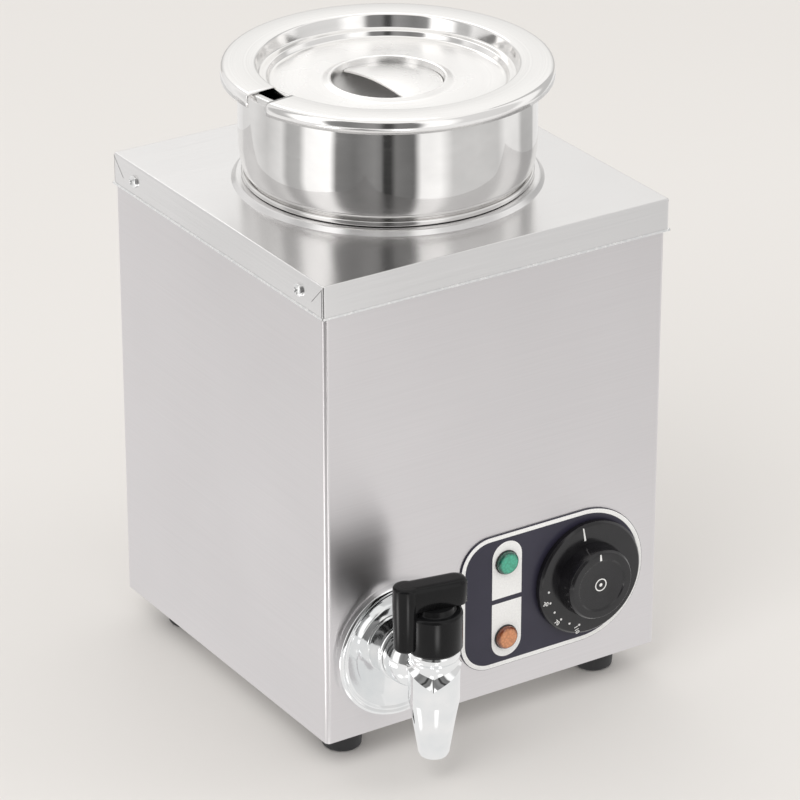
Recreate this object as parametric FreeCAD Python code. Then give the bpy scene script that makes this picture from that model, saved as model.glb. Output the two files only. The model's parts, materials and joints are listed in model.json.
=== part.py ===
import FreeCAD, Part

import math
import os

# Bain marie with one round pot and a drain tap. Millimetres, +Z up, front towards -Y.
# The origin is on the table, under the middle of the whole footprint.

# Housing sizes
casing_w = 240.0
casing_d = 240.0
casing_h = 300.0
casing_lift = 20.0
sheet = 1.0
bend_r = 3.0
casing_lip = 12.0
rear_return = 16.0

# Deck cap sizes
deck_overhang = 1.5
deck_skirt = 21.0
deck_seam = 0.5
deck_land = 13.0
ring_top_w = 5.0
ring_rise = 3.0
ring_foot_w = 3.0
deck_lip = 5.0

# Pot sizes
pot_sheet = 1.0
pot_side_gap = 3.0
pot_bead_rest = 3.5
pot_shoulder_out = 1.5
pot_bead_h = 3.5
pot_shoulder_h = 20.0
pot_corner_r = 14.0
pot_above_deck = 72.7
pot_rim_w = 6.0
rest_gap = 0.3

# Lid sizes
lid_side_gap = 3.0
lid_sheet = 1.0
lid_skirt = 8.0
lid_land = 11.0
lid_shelf_w = 4.0
lid_shelf_drop = 8.5
lid_disc_drop = 12.0
lid_dimple_d = 70.0
lid_dimple_depth = 14.0
lid_dimple_lip = 1.6
notch_w = 17.0
notch_angle = 187.0
handle_plate_t = 1.2
handle_plate_set = 9.0
handle_plate_turn = 5.0

# Water well sizes
well_room = 22.0
well_sheet = 1.0
pot_floor_gap = 8.7
service_h = 140.0
well_corner_r = 8.0
well_flange_w = 14.0

# Feet
foot_d = 27.0
foot_base_d = 24.0
foot_inset = 27.0
foot_recess_d = 12.0
foot_recess_h = 12.0
foot_screw_d = 4.6

# Tap sizes
tap_edge = 50.0
tap_h = 53.0
tap_reach = 40.0
flange_d = 87.0
flange_band = 6.0
flange_dish = 2.5
shank_d = 20.0
shank_in = 23.0
ring_nut_d = 38.0
ring_nut_t = 7.5
bulb_d = 36.0
bulb_set = 16.0
barrel_d = 31.0
barrel_up = 17.4
barrel_neck_d = 21.0
barrel_neck_h = 11.0
spout_end_d = 18.5
spout_drop = 55.0
water_bore = 11.0
plug_d = 17.0
plug_down = 9.0
plug_run = 0.05
stem_d = 8.0

# Tap handle sizes
handle_gap = 0.6
collar_out = 1.5
collar_h = 24.8
core_d = 24.0
core_h = 8.2
pillar_d = 16.0
pillar_set = 18.0
pillar_up = 1.5
slab_l = 46.0
slab_w = 16.0
slab_h = 11.0
handle_turn = -10.0

# Control plate, lamps and dial
plate_gap = 1.0
plate_border = 7.5
plate_corner_r = 21.0
plate_t = 1.2
dial_edge = 53.7
dial_h = 62.6
lamp_set = 32.5
lamp_top_h = 88.3
lamp_low_h = 37.3
lamp_bezel_w = 1.9
lamp_bezel_t = 2.5
lamp_barrel_d = 12.0
lamp_barrel_l = 24.0
dial_d = 75.0
dial_t = 5.0
dial_wall = 1.8
dial_lift = 0.4
grip_d = 46.0
grip_face_d = 42.0
grip_t = 12.0
dial_shaft_d = 6.0
shaft_run = 0.05

# Parts behind the panels
stat_w = 36.0
stat_h = 40.0
stat_d = 30.0
stat_bolt_set = 14.0
heater_d = 8.0
heater_side_gap = 41.0
heater_corner = 30.0
heater_gap = 8.0
heater_leg_x = 14.0
heater_bend = 9.5
heater_tail = 24.0
drain_edge = 28.0
drain_y = -20.0
drain_pipe_d = 16.0
drain_bend = 28.0
bulb_sensor_d = 6.0
bulb_sensor_l = 80.0
bulb_sensor_x = 36.0
capillary_d = 2.0
gland_x = 74.0
gland_h = 36.0
gland_thread_d = 16.0
gland_bore_d = 9.0
wire_d = 2.6
slip = 0.2

# Levels and faces that follow from the sizes above
z_edge = casing_lift
z_deck = casing_lift + casing_h
z_under = z_deck - sheet
z_pan = casing_lift + sheet
front = -casing_d / 2
rear = casing_d / 2
inner_front = front + sheet
inner_rear = rear - sheet
z_ring = z_deck + ring_rise
z_rim = z_deck + pot_above_deck
z_lid = z_rim + rest_gap + lid_sheet
z_well_under = z_edge + service_h
z_well_floor = z_well_under + well_sheet
z_heater = z_well_floor + heater_gap + heater_d / 2
z_pot_floor = z_heater + heater_d / 2 + pot_floor_gap
well_depth = z_deck - z_well_under
z_tap = z_edge + tap_h
y_barrel = front - tap_reach
z_dial = z_edge + dial_h
gland_reach = 21.0
rear_reach = rear + gland_reach
well_d = min(casing_w, casing_d) - 2 * well_room
deck_open_d = well_d - 2 * deck_land
pot_neck_d = deck_open_d - 2 * pot_side_gap
pot_bead_d = deck_open_d + 2 * pot_bead_rest
pot_wall_d = pot_bead_d + 2 * pot_shoulder_out
lid_d = pot_wall_d + 2 * (pot_rim_w + lid_side_gap + lid_sheet)
lid_recess_d = pot_wall_d - 2 * lid_land
heater_half = well_d / 2 - heater_side_gap
tap_x = tap_edge - casing_w / 2
drain_x = drain_edge - well_d / 2
dial_x = casing_w / 2 - dial_edge
plate_left = tap_x + flange_d / 2 + plate_gap
plate_h = dial_d + 2 * plate_border
lamp_x = plate_left + lamp_set
lamp_bezel_d = lamp_barrel_d + 2 * lamp_bezel_w
lamp_lens_d = lamp_barrel_d + slip
collar_d = barrel_d + 2 * collar_out
front_reach = -y_barrel + collar_d / 2
shift_y = (front_reach - rear_reach) / 2


def vec(x, y, z):
    return FreeCAD.Vector(x, y, z)


X = vec(1, 0, 0)
Y = vec(0, 1, 0)
Z = vec(0, 0, 1)


def box(x0, x1, y0, y1, z0, z1):
    return Part.makeBox(x1 - x0, y1 - y0, z1 - z0, vec(x0, y0, z0))


def cyl(d, h, base, axis=Z):
    return Part.makeCylinder(d / 2, h, base, axis)


def cone(d0, d1, h, base, axis=Z):
    return Part.makeCone(d0 / 2, d1 / 2, h, base, axis)


def tube(d_out, d_in, h, base, axis=Z):
    return cyl(d_out, h, base, axis).cut(cyl(d_in, h + 2, base - axis, axis))


def joined(shapes):
    whole = shapes[0]
    for piece in shapes[1:]:
        whole = whole.fuse(piece)
    return whole.removeSplitter()


def less(shape, cuts):
    for piece in cuts:
        shape = shape.cut(piece)
    return shape


def rounded_prism(x0, x1, y0, y1, z0, z1, r):
    block = box(x0, x1, y0, y1, z0, z1)
    if r <= 0:
        return block
    edges = [e for e in block.Edges if abs(abs(e.tangentAt(e.FirstParameter).z) - 1) < 1e-6]
    return block.makeFillet(r, edges)


def turned(points, centre, axis=Z):
    """Solid of revolution. Points are (radius, height along the axis)."""
    if abs(axis.z) > 0.5:
        places = [centre + vec(r, 0, 0) + axis * h for r, h in points]
    else:
        places = [centre + vec(r, 0, 0) + axis * h for r, h in points]
    wire = Part.makePolygon(places + [places[0]])
    solid = Part.Face(wire).revolve(centre, axis, 360)
    if solid.ShapeType != "Solid":
        solid = Part.Solid(solid)
    if solid.Volume < 0:
        solid.reverse()
    return solid


def arc_points(cx, cz, r, a0, a1, steps=8):
    """Points of an arc in (radius, height), angles in degrees."""
    out = []
    for i in range(steps + 1):
        a = math.radians(a0 + (a1 - a0) * i / steps)
        out.append((cx + r * math.cos(a), cz + r * math.sin(a)))
    return out


def hexagon(flats, h, base, axis, bore):
    r = flats / math.sqrt(3)
    side = X if abs(axis.x) < 0.5 else Y
    other = axis.cross(side)
    places = []
    for i in range(6):
        a = math.radians(60 * i + 30)
        places.append(base + side * (r * math.cos(a)) + other * (r * math.sin(a)))
    wire = Part.makePolygon(places + [places[0]])
    solid = Part.Face(wire).extrude(axis * h)
    return solid.cut(cyl(bore, h + 2, base - axis, axis))


def bent_path(points, r):
    """Straight runs joined by tangent arcs of radius r, or less where a run is short."""
    places = [vec(*p) for p in points]
    for i in range(len(places) - 2, 0, -1):
        before = (places[i] - places[i - 1]).normalize()
        after = (places[i + 1] - places[i]).normalize()
        if before.getAngle(after) < 1e-4:
            del places[i]
    edges = []
    start = places[0]
    for i in range(1, len(places) - 1):
        a = places[i - 1]
        b = places[i]
        c = places[i + 1]
        u = (a - b).normalize()
        v = (c - b).normalize()
        turn = math.pi - u.getAngle(v)
        reach = r * math.tan(turn / 2)
        most = 0.49 * min((a - b).Length, (c - b).Length)
        if i == 1:
            most = min(0.95 * (a - b).Length, 0.49 * (c - b).Length)
        if i == len(places) - 2:
            most = min(most if i == 1 else 0.49 * (a - b).Length, 0.95 * (c - b).Length)
        reach = min(reach, most)
        p = b + u * reach
        q = b + v * reach
        bulge = reach / math.tan(turn / 2)
        middle = (u + v).normalize()
        centre = b + middle * math.hypot(reach, bulge)
        m = centre + (b - centre).normalize() * bulge
        edges.append(Part.LineSegment(start, p).toShape())
        edges.append(Part.Arc(p, m, q).toShape())
        start = q
    edges.append(Part.LineSegment(start, places[-1]).toShape())
    return Part.Wire(edges)


def rod(points, r, d, d_in=0.0):
    """Round rod or pipe along a bent path."""
    path = bent_path(points, r)
    first = vec(*points[0])
    way = (vec(*points[1]) - first).normalize()
    ring = Part.Wire(Part.makeCircle(d / 2, first, way))
    solid = path.makePipeShell([ring], True, False)
    if d_in > 0:
        hole = Part.Wire(Part.makeCircle(d_in / 2, first, way))
        solid = solid.cut(path.makePipeShell([hole], True, False))
    return solid


def screw(head_d, head_t, shank_d, shank_l, seat, out):
    """Pan head screw. seat is under the head, out points away from the sheet."""
    head = cyl(head_d, head_t, seat, out)
    rim = [e for e in head.Edges if abs((e.CenterOfMass - seat).dot(out) - head_t) < 1e-6]
    head = head.makeFillet(head_t * 0.45, rim)
    shank = cyl(shank_d, shank_l, seat, out * -1)
    slot = head_d * 0.7
    deep = head_t * 0.5
    mid = seat + out * (head_t - deep)
    body = head.fuse(shank)
    for turn in (0, 90):
        bar = Part.makeBox(slot, head_d * 0.16, deep + 1, vec(-slot / 2, -head_d * 0.08, 0))
        bar.rotate(vec(0, 0, 0), Z, turn + 45)
        spin = FreeCAD.Rotation(Z, out)
        bar.Placement = FreeCAD.Placement(mid, spin).multiply(bar.Placement)
        body = body.cut(bar)
    return body


nodes = {}

# Casing: one sheet folded round the left, front and right, with rear returns and bottom lips
half_w = casing_w / 2
wrap_rear = rear - sheet
outer = rounded_prism(-half_w, half_w, front, wrap_rear + 20, z_edge, z_under, bend_r)
inner = rounded_prism(-half_w + sheet, half_w - sheet, front + sheet, wrap_rear + 21,
                      z_edge, z_under, bend_r - sheet)
wall = outer.cut(inner)
wall = wall.cut(box(-half_w - 1, half_w + 1, wrap_rear, wrap_rear + 30, z_edge - 1, z_under + 1))
returns = []
for side in (-1, 1):
    x0 = side * (half_w - rear_return)
    x1 = side * (half_w - sheet)
    returns.append(box(min(x0, x1), max(x0, x1), wrap_rear - sheet, wrap_rear, z_edge, z_under))
lip = outer.common(box(-half_w, half_w, front, wrap_rear - sheet, z_edge, z_edge + sheet))
lip = lip.cut(box(-half_w + casing_lip, half_w - casing_lip, front + casing_lip, rear + 30,
                  z_edge - 1, z_edge + sheet + 1))
casing = joined([wall, lip] + returns)

deck_screw_y = casing_d / 2 - 24.0
deck_screw_z = z_deck - 10.7
deck_screw_shank = 3.8
panel_screw_z = [z_edge + 24.0, z_edge + casing_h / 2, z_deck - 34.0]
panel_screw_x = half_w - rear_return / 2 - 0.5
base_screw_set = casing_lip / 2 + 1.0
base_screw_at = [
    vec(-half_w + base_screw_set, -46.0, z_edge),
    vec(-half_w + base_screw_set, 46.0, z_edge),
    vec(half_w - base_screw_set, -46.0, z_edge),
    vec(half_w - base_screw_set, 46.0, z_edge),
    vec(0, front + base_screw_set, z_edge),
]
hole_cuts = []
for sx in (-1, 1):
    for sy in (-1, 1):
        hole_cuts.append(cyl(deck_screw_shank + slip, 20, vec(sx * half_w - 10, sy * deck_screw_y,
                                                              deck_screw_z), X))
casing = less(casing, hole_cuts)
casing = less(casing, [cyl(3.4, 10, vec(p.x, p.y, z_edge - 5), Z) for p in base_screw_at])
for sx in (-1, 1):
    for z in panel_screw_z:
        casing = casing.cut(cyl(3.4, 10, vec(sx * panel_screw_x, rear - 6, z), Y))
front_holes = [
    (tap_x, z_tap, shank_d + 2 * slip),
    (dial_x, z_dial, dial_shaft_d + 4.0),
    (dial_x - stat_bolt_set, z_dial, 4.4),
    (dial_x + stat_bolt_set, z_dial, 4.4),
    (lamp_x, z_edge + lamp_top_h, lamp_barrel_d + slip),
    (lamp_x, z_edge + lamp_low_h, lamp_barrel_d + slip),
]
for x, z, d in front_holes:
    casing = casing.cut(cyl(d, 20, vec(x, front - 10, z), Y))
nodes["casing_wrap"] = casing

# Back panel: flush between the side walls, with vent slots and the hole for the cable gland
back = box(-half_w, half_w, inner_rear, rear, z_edge, z_under)
slot_l = 52.0
slot_w = 4.0
for sx in (-1, 1):
    for i in range(6):
        z = z_under - 60.0 - i * 11.0
        x = sx * 44.0
        vent = box(x - slot_l / 2, x + slot_l / 2, rear - 5, rear + 5, z - slot_w / 2, z + slot_w / 2)
        ends = [e for e in vent.Edges if abs(abs(e.tangentAt(e.FirstParameter).y) - 1) < 1e-6]
        back = back.cut(vent.makeFillet(slot_w * 0.45, ends))
for sx in (-1, 1):
    for z in panel_screw_z:
        back = back.cut(cyl(4.2, 10, vec(sx * panel_screw_x, rear - 6, z), Y))
z_gland = z_edge + gland_h
back = back.cut(cyl(gland_thread_d + 2 * slip, 10, vec(gland_x, rear - 5, z_gland), Y))
nodes["back_panel"] = back

screws = []
for sx in (-1, 1):
    for z in panel_screw_z:
        screws.append(screw(7.0, 2.2, 3.2, 8.0, vec(sx * panel_screw_x, rear, z), Y))
nodes["back_panel_screws"] = Part.makeCompound(screws)

# Deck cap: folded skirt, butt seams at the corners and a pressed ring round the opening
cap_w = half_w + deck_overhang
cap_d = casing_d / 2 + deck_overhang
cap = rounded_prism(-cap_w, cap_w, -cap_d, cap_d, z_deck - deck_skirt, z_deck, 1.6)
top_edges = [e for e in cap.Edges if e.BoundBox.ZMin > z_deck - 0.01]
cap = cap.makeFillet(1.2, top_edges)
hollow = box(-cap_w + sheet, cap_w - sheet, -cap_d + sheet, cap_d - sheet,
             z_deck - deck_skirt - 1, z_under)
cap = cap.cut(hollow)
for sx in (-1, 1):
    for sy in (-1, 1):
        y0 = sy * (cap_d - sheet - deck_seam)
        y1 = sy * (cap_d - sheet)
        x0 = sx * (cap_w - sheet - 1)
        x1 = sx * (cap_w + 1)
        cap = cap.cut(box(min(x0, x1), max(x0, x1), min(y0, y1), max(y0, y1),
                          z_deck - deck_skirt - 1, z_under - 1.5))
r_open = deck_open_d / 2
r_crest0 = r_open + 1.5
r_crest1 = r_crest0 + ring_top_w
r_foot = r_crest1 + ring_foot_w
cap = cap.cut(cyl(2 * r_foot, 40, vec(0, 0, z_deck - 20)))
ring = turned([
    (r_foot, -sheet), (r_foot, 0), (r_crest1 + 0.8, ring_rise - 0.5), (r_crest1, ring_rise),
    (r_crest0, ring_rise), (r_open + 0.3, ring_rise - 0.8), (r_open, ring_rise - 1.8),
    (r_open, -deck_lip), (r_open + sheet, -deck_lip), (r_open + sheet, ring_rise - 1.9),
    (r_crest0 + 0.2, ring_rise - sheet), (r_crest1 - 0.2, ring_rise - sheet),
    (r_foot - 0.9, -sheet),
], vec(0, 0, z_deck))
cap = joined([cap, ring])
for sx in (-1, 1):
    for sy in (-1, 1):
        cap = cap.cut(cyl(deck_screw_shank + slip, 20, vec(sx * half_w - 10, sy * deck_screw_y,
                                                           deck_screw_z), X))
nodes["deck_cap"] = cap

screws = []
for sx in (-1, 1):
    for sy in (-1, 1):
        seat = vec(sx * cap_w, sy * deck_screw_y, deck_screw_z)
        screws.append(screw(8.0, 2.4, deck_screw_shank, 9.0, seat, X * sx))
nodes["deck_screws"] = Part.makeCompound(screws)

# Base pan: a tray that lies on the casing's lips
pan_x = half_w - sheet - 0.5
pan_front = inner_front + 0.5
pan_rear = wrap_rear - sheet - 0.5
pan = rounded_prism(-pan_x, pan_x, pan_front, pan_rear, z_pan, z_pan + 11.0, 1.8)
pan = pan.cut(box(-pan_x + sheet, pan_x - sheet, pan_front + sheet, pan_rear - sheet,
                  z_pan + sheet, z_pan + 30))
foot_at = []
for sy in (-1, 1):
    for sx in (-1, 1):
        foot_at.append(vec(sx * (half_w - foot_inset), sy * (casing_d / 2 - foot_inset), 0))
for p in foot_at:
    pan = pan.cut(cyl(foot_screw_d + slip, 20, vec(p.x, p.y, z_pan - 10)))
for p in base_screw_at:
    pan = pan.cut(cyl(3.4, 10, vec(p.x, p.y, z_pan - 5)))
for i in range(7):
    y = -48.0 + i * 16.0
    vent = box(-34, 34, y - 2.5, y + 2.5, z_pan - 5, z_pan + 5)
    pan = pan.cut(vent)
block_at = vec(30.0, 84.0, z_pan + sheet)
stud_at = vec(74.0, 62.0, z_pan + sheet)
for sx in (-1, 1):
    pan = pan.cut(cyl(3.4, 10, vec(block_at.x + sx * 10.0, block_at.y, z_pan - 5)))
pan = pan.cut(cyl(5.2, 10, vec(stud_at.x, stud_at.y, z_pan - 5)))
nodes["base_pan"] = pan

screws = [screw(6.4, 2.0, 3.2, 8.0, p, Z * -1) for p in base_screw_at]
nodes["base_screws"] = Part.makeCompound(screws)

# Feet: rubber, with a recessed screw and a nut on the pan
foot_h = z_pan
foot_names = ["foot_front_left", "foot_front_right", "foot_rear_left", "foot_rear_right"]
foot_screws = []
foot_nuts = []
for name, p in zip(foot_names, foot_at):
    r0 = foot_base_d / 2
    r1 = foot_d / 2
    foot = turned([
        (foot_recess_d / 2, 0), (r0 - 1.5, 0), (r0 - 0.5, 0.4), (r0, 1.4), (r1, foot_h - 7),
        (r1, foot_h), (foot_screw_d / 2 + slip / 2, foot_h),
        (foot_screw_d / 2 + slip / 2, foot_recess_h), (foot_recess_d / 2, foot_recess_h),
    ], p)
    nodes[name] = foot
    seat = vec(p.x, p.y, foot_recess_h)
    foot_screws.append(screw(9.6, 3.2, foot_screw_d, foot_h - foot_recess_h + 8.0, seat, Z * -1))
    foot_nuts.append(hexagon(8.0, 3.5, vec(p.x, p.y, z_pan + sheet), Z, foot_screw_d + slip))
nodes["foot_screws"] = Part.makeCompound(foot_screws)
nodes["foot_nuts"] = Part.makeCompound(foot_nuts)

# Water well: a round tank that hangs under the deck
r_well = well_d / 2
r_in = r_well - well_sheet
r_flange = r_well + well_flange_w
corner_out = arc_points(r_well - well_corner_r, well_corner_r, well_corner_r, 0, -90)
corner_in = arc_points(r_well - well_corner_r, well_corner_r, well_corner_r - well_sheet, -90, 0)
profile = [(r_flange, well_depth - sheet - well_sheet), (r_well, well_depth - sheet - well_sheet)]
profile += corner_out
profile += [(0, 0), (0, well_sheet)]
profile += corner_in
profile += [(r_in, well_depth - sheet), (r_flange, well_depth - sheet)]
well = turned(profile, vec(0, 0, z_well_under))
spud_d = 20.0
well = well.cut(cyl(spud_d + 2 * slip, 20, vec(drain_x, drain_y, z_well_under - 10)))
heater_y = heater_half
for sx in (-1, 1):
    well = well.cut(cyl(heater_d + 2 * slip, 20, vec(sx * heater_leg_x, heater_y, z_well_under - 10)))
nodes["water_well"] = well

# Heating element: a bent tube on legs through the floor of the well, with pin ends
h = heater_half
c = heater_corner
low = z_well_under - heater_tail
loop = [
    (-heater_leg_x, h, low), (-heater_leg_x, h, z_heater), (-h, h, z_heater), (-h, -h, z_heater),
    (h, -h, z_heater), (h, h, z_heater), (heater_leg_x, h, z_heater), (heater_leg_x, h, low),
]


def heater_wire():
    b = heater_bend
    x = heater_leg_x
    z = z_heater
    k = math.sqrt(0.5)
    edges = []

    def line(p, q):
        edges.append(Part.LineSegment(vec(*p), vec(*q)).toShape())

    def arc(p, m, q):
        edges.append(Part.Arc(vec(*p), vec(*m), vec(*q)).toShape())

    line((-x, h, low), (-x, h, z - b))
    arc((-x, h, z - b), (-x - b + b * k, h, z - b + b * k), (-x - b, h, z))
    line((-x - b, h, z), (-h + c, h, z))
    arc((-h + c, h, z), (-h + c - c * k, h - c + c * k, z), (-h, h - c, z))
    line((-h, h - c, z), (-h, -h + c, z))
    arc((-h, -h + c, z), (-h + c - c * k, -h + c - c * k, z), (-h + c, -h, z))
    line((-h + c, -h, z), (h - c, -h, z))
    arc((h - c, -h, z), (h - c + c * k, -h + c - c * k, z), (h, -h + c, z))
    line((h, -h + c, z), (h, h - c, z))
    arc((h, h - c, z), (h - c + c * k, h - c + c * k, z), (h - c, h, z))
    line((h - c, h, z), (x + b, h, z))
    arc((x + b, h, z), (x + b - b * k, h, z - b + b * k), (x, h, z - b))
    line((x, h, z - b), (x, h, low))
    return Part.Wire(edges)


path = heater_wire()
ring = Part.Wire(Part.makeCircle(heater_d / 2, vec(-heater_leg_x, h, low), Z))
heater = path.makePipeShell([ring], True, False)
pins = [cyl(3.0, 9.5, vec(sx * heater_leg_x, h, low - 9.0)) for sx in (-1, 1)]
nodes["heating_element"] = joined([heater] + pins)
nuts = []
gaskets = []
for sx in (-1, 1):
    base = vec(sx * heater_leg_x, h, z_well_under - 6.0)
    nuts.append(hexagon(15.0, 6.0, base, Z, heater_d + 2 * slip))
    gaskets.append(tube(15.0, heater_d + 2 * slip, 2.0, vec(sx * heater_leg_x, h, z_well_floor)))
nodes["element_nuts"] = Part.makeCompound(nuts)
nodes["element_gaskets"] = Part.makeCompound(gaskets)

# Drain: spud in the floor of the well, bent pipe and union nuts down to the tap's shank
spud_low = z_well_under - 14.0
pipe_bore = drain_pipe_d - 3.0
spud = joined([
    cyl(26.0, 2.5, vec(drain_x, drain_y, z_well_floor + 1.5)),
    cyl(spud_d, z_well_floor + 2.0 - spud_low, vec(drain_x, drain_y, spud_low)),
])
spud = spud.cut(cyl(pipe_bore, 60, vec(drain_x, drain_y, spud_low - 20)))
nodes["drain_spud"] = spud
nodes["drain_gasket"] = tube(26.0, spud_d + 2 * slip, 1.5, vec(drain_x, drain_y, z_well_floor))
nodes["drain_locknut"] = hexagon(27.0, 5.0, vec(drain_x, drain_y, z_well_under - 5.0), Z,
                                 spud_d + slip)
y_shank_end = front + shank_in
drain = rod([(drain_x, drain_y, spud_low), (drain_x, drain_y, z_tap),
             (tap_x, (drain_y + y_shank_end) / 2 - 6.0, z_tap), (tap_x, y_shank_end, z_tap)],
            drain_bend, drain_pipe_d, pipe_bore)
nodes["drain_pipe"] = drain
union_low = hexagon(shank_d + 6.0, 12.0, vec(tap_x, y_shank_end + 8.0, z_tap), Y * -1, drain_pipe_d + slip)
union_low = union_low.cut(cyl(shank_d + slip, 30, vec(tap_x, y_shank_end, z_tap), Y * -1))
union_top = hexagon(spud_d + 6.0, 12.0, vec(drain_x, drain_y, spud_low - 8.0), Z, drain_pipe_d + slip)
union_top = union_top.cut(cyl(spud_d + slip, 30, vec(drain_x, drain_y, spud_low), Z))
nodes["drain_union_nuts"] = Part.makeCompound([union_low, union_top])

# Tap escutcheon: a shallow dished cup with a rolled edge against the front panel
OUT = Y * -1
rf = flange_d / 2
dish = turned([
    (shank_d / 2 + slip, 0), (rf - 1.0, 0), (rf, 1.0), (rf, flange_band - 1.8),
    (rf - 0.6, flange_band - 0.6), (rf - 1.9, flange_band), (rf - 3.4, flange_band - 0.5),
    (rf - 4.4, flange_band - 1.5), (rf - 9.0, flange_band - 2.6), (rf - 17.0, flange_dish + 0.4),
    (rf - 24.0, flange_dish), (shank_d / 2 + slip, flange_dish),
], vec(tap_x, front, z_tap), OUT)
nodes["tap_escutcheon"] = dish
d0 = flange_dish
rn = ring_nut_d / 2
nodes["tap_ring_nut"] = turned([
    (shank_d / 2 + slip, d0), (rn - 1.5, d0), (rn, d0 + 1.5), (rn, d0 + ring_nut_t - 3.0),
    (rn - 2.4, d0 + ring_nut_t), (shank_d / 2 + slip, d0 + ring_nut_t),
], vec(tap_x, front, z_tap), OUT)
nodes["tap_washer"] = tube(shank_d + 10.0, shank_d + 2 * slip, 2.0, vec(tap_x, inner_front, z_tap), Y)
nodes["tap_locknut"] = hexagon(shank_d + 9.0, 6.0, vec(tap_x, inner_front + 2.0, z_tap), Y,
                               shank_d + slip)

# Tap body: shank, round bulb, upright barrel and tapered spout, bored through
axis_base = vec(tap_x, y_barrel, 0)
shank = cyl(shank_d, shank_in + bulb_set, vec(tap_x, y_shank_end, z_tap), OUT)
ball = Part.makeSphere(bulb_d / 2, vec(tap_x, front - bulb_set, z_tap))
ball = ball.cut(box(tap_x - 40, tap_x + 40, front - flange_dish - ring_nut_t - 0.3, front + 20,
                    z_tap - 40, z_tap + 40))
neck = cyl(24.0, tap_reach - bulb_set, vec(tap_x, front - bulb_set, z_tap), OUT)
z_barrel_top = z_tap + barrel_up
z_spout_end = z_tap - spout_drop
rb = barrel_d / 2
re = spout_end_d / 2
rk = barrel_neck_d / 2
barrel = turned([
    (0, z_spout_end), (re - 2.2, z_spout_end), (re - 0.7, z_spout_end + 0.8),
    (re, z_spout_end + 2.6), (re + 1.6, z_spout_end + 14.0), (re + 4.0, z_spout_end + 28.0),
    (rb - 0.6, z_tap - 4.0), (rb + 0.2, z_tap + 5.0), (rb, z_tap + 9.0), (rb, z_barrel_top - 1.0),
    (rb - 1.0, z_barrel_top), (rk, z_barrel_top), (rk, z_barrel_top + barrel_neck_h),
    (0, z_barrel_top + barrel_neck_h),
], axis_base)
body = joined([shank, ball, neck, barrel])
z_plug = z_tap - plug_down
chamber = cyl(plug_d + 2 * plug_run, 80, vec(tap_x, y_barrel, z_plug - 0.3))
outlet = cyl(water_bore, 80, vec(tap_x, y_barrel, z_spout_end - 10))
outlet = outlet.common(box(-500, 500, -500, 500, z_spout_end - 10, z_plug))
inlet = cyl(water_bore, tap_reach + shank_in + 1, vec(tap_x, y_shank_end + 1, z_tap), OUT)
body = less(body, [chamber, outlet, inlet])
nodes["tap_body"] = body

# Tap plug and handle: they turn together about the barrel's axis
z_stem_top = z_barrel_top + barrel_neck_h + handle_gap + 8.0
plug = joined([
    cyl(plug_d, z_barrel_top + barrel_neck_h - z_plug, vec(tap_x, y_barrel, z_plug)),
    cyl(stem_d, z_stem_top - z_plug, vec(tap_x, y_barrel, z_plug)),
])
plug = plug.cut(cyl(water_bore, 40, vec(tap_x - 20, y_barrel, z_tap), X))
plug = plug.cut(cyl(water_bore, plug_down, vec(tap_x, y_barrel, z_plug - 1)))
nodes["tap_plug"] = plug

z_collar = z_barrel_top + handle_gap
z_collar_top = z_collar + collar_h
z_slab = z_collar_top + core_h
z_slab_top = z_slab + slab_h
rc = collar_d / 2
collar = turned([
    (0, z_collar), (rc - 0.8, z_collar), (rc, z_collar + 0.8), (rc, z_collar_top - 1.2),
    (rc - 1.2, z_collar_top), (0, z_collar_top),
], axis_base)
core = cyl(core_d, core_h + 1, vec(tap_x, y_barrel, z_collar_top - 0.5))
x_pillar = tap_x - pillar_set
pillar = cone(pillar_d - 1.5, pillar_d, z_slab - z_collar - pillar_up, vec(x_pillar, y_barrel,
                                                                          z_collar + pillar_up))
left_end = x_pillar - pillar_d / 2
slab = rounded_prism(left_end, left_end + slab_l, y_barrel - slab_w / 2, y_barrel + slab_w / 2,
                     z_slab, z_slab_top, slab_w * 0.42)
slab_top = [e for e in slab.Edges if e.BoundBox.ZMin > z_slab_top - 0.01]
slab = slab.makeFillet(1.2, slab_top)
handle = joined([collar, core, pillar, slab])
handle = handle.cut(cyl(barrel_neck_d + 2 * slip + 0.6, barrel_neck_h + 2 * handle_gap,
                        vec(tap_x, y_barrel, z_collar - handle_gap)))
handle = handle.cut(cyl(stem_d + 2 * 0.05, z_stem_top + 0.2 - z_collar, vec(tap_x, y_barrel, z_collar)))
handle.rotate(axis_base, Z, handle_turn)
nodes["tap_handle"] = handle

# Control plate: left corners rounded, right end a half circle round the dial
z_plate_mid = z_dial
rp = plate_h / 2
plate_bottom = z_plate_mid - rp
plate = joined([
    cyl(plate_h, plate_t, vec(dial_x - 3.0, front, z_plate_mid), OUT),
    box(plate_left + plate_corner_r, dial_x - 3.0, front - plate_t, front, plate_bottom,
        plate_bottom + plate_h),
    box(plate_left, dial_x - 3.0, front - plate_t, front, plate_bottom + plate_corner_r,
        plate_bottom + plate_h - plate_corner_r),
    cyl(2 * plate_corner_r, plate_t, vec(plate_left + plate_corner_r, front,
                                         plate_bottom + plate_corner_r), OUT),
    cyl(2 * plate_corner_r, plate_t, vec(plate_left + plate_corner_r, front,
                                         plate_bottom + plate_h - plate_corner_r), OUT),
])
for x, z, d in front_holes[1:]:
    plate = plate.cut(cyl(d, 20, vec(x, front - 10, z), Y))
nodes["control_plate"] = plate
y_plate = front - plate_t

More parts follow.
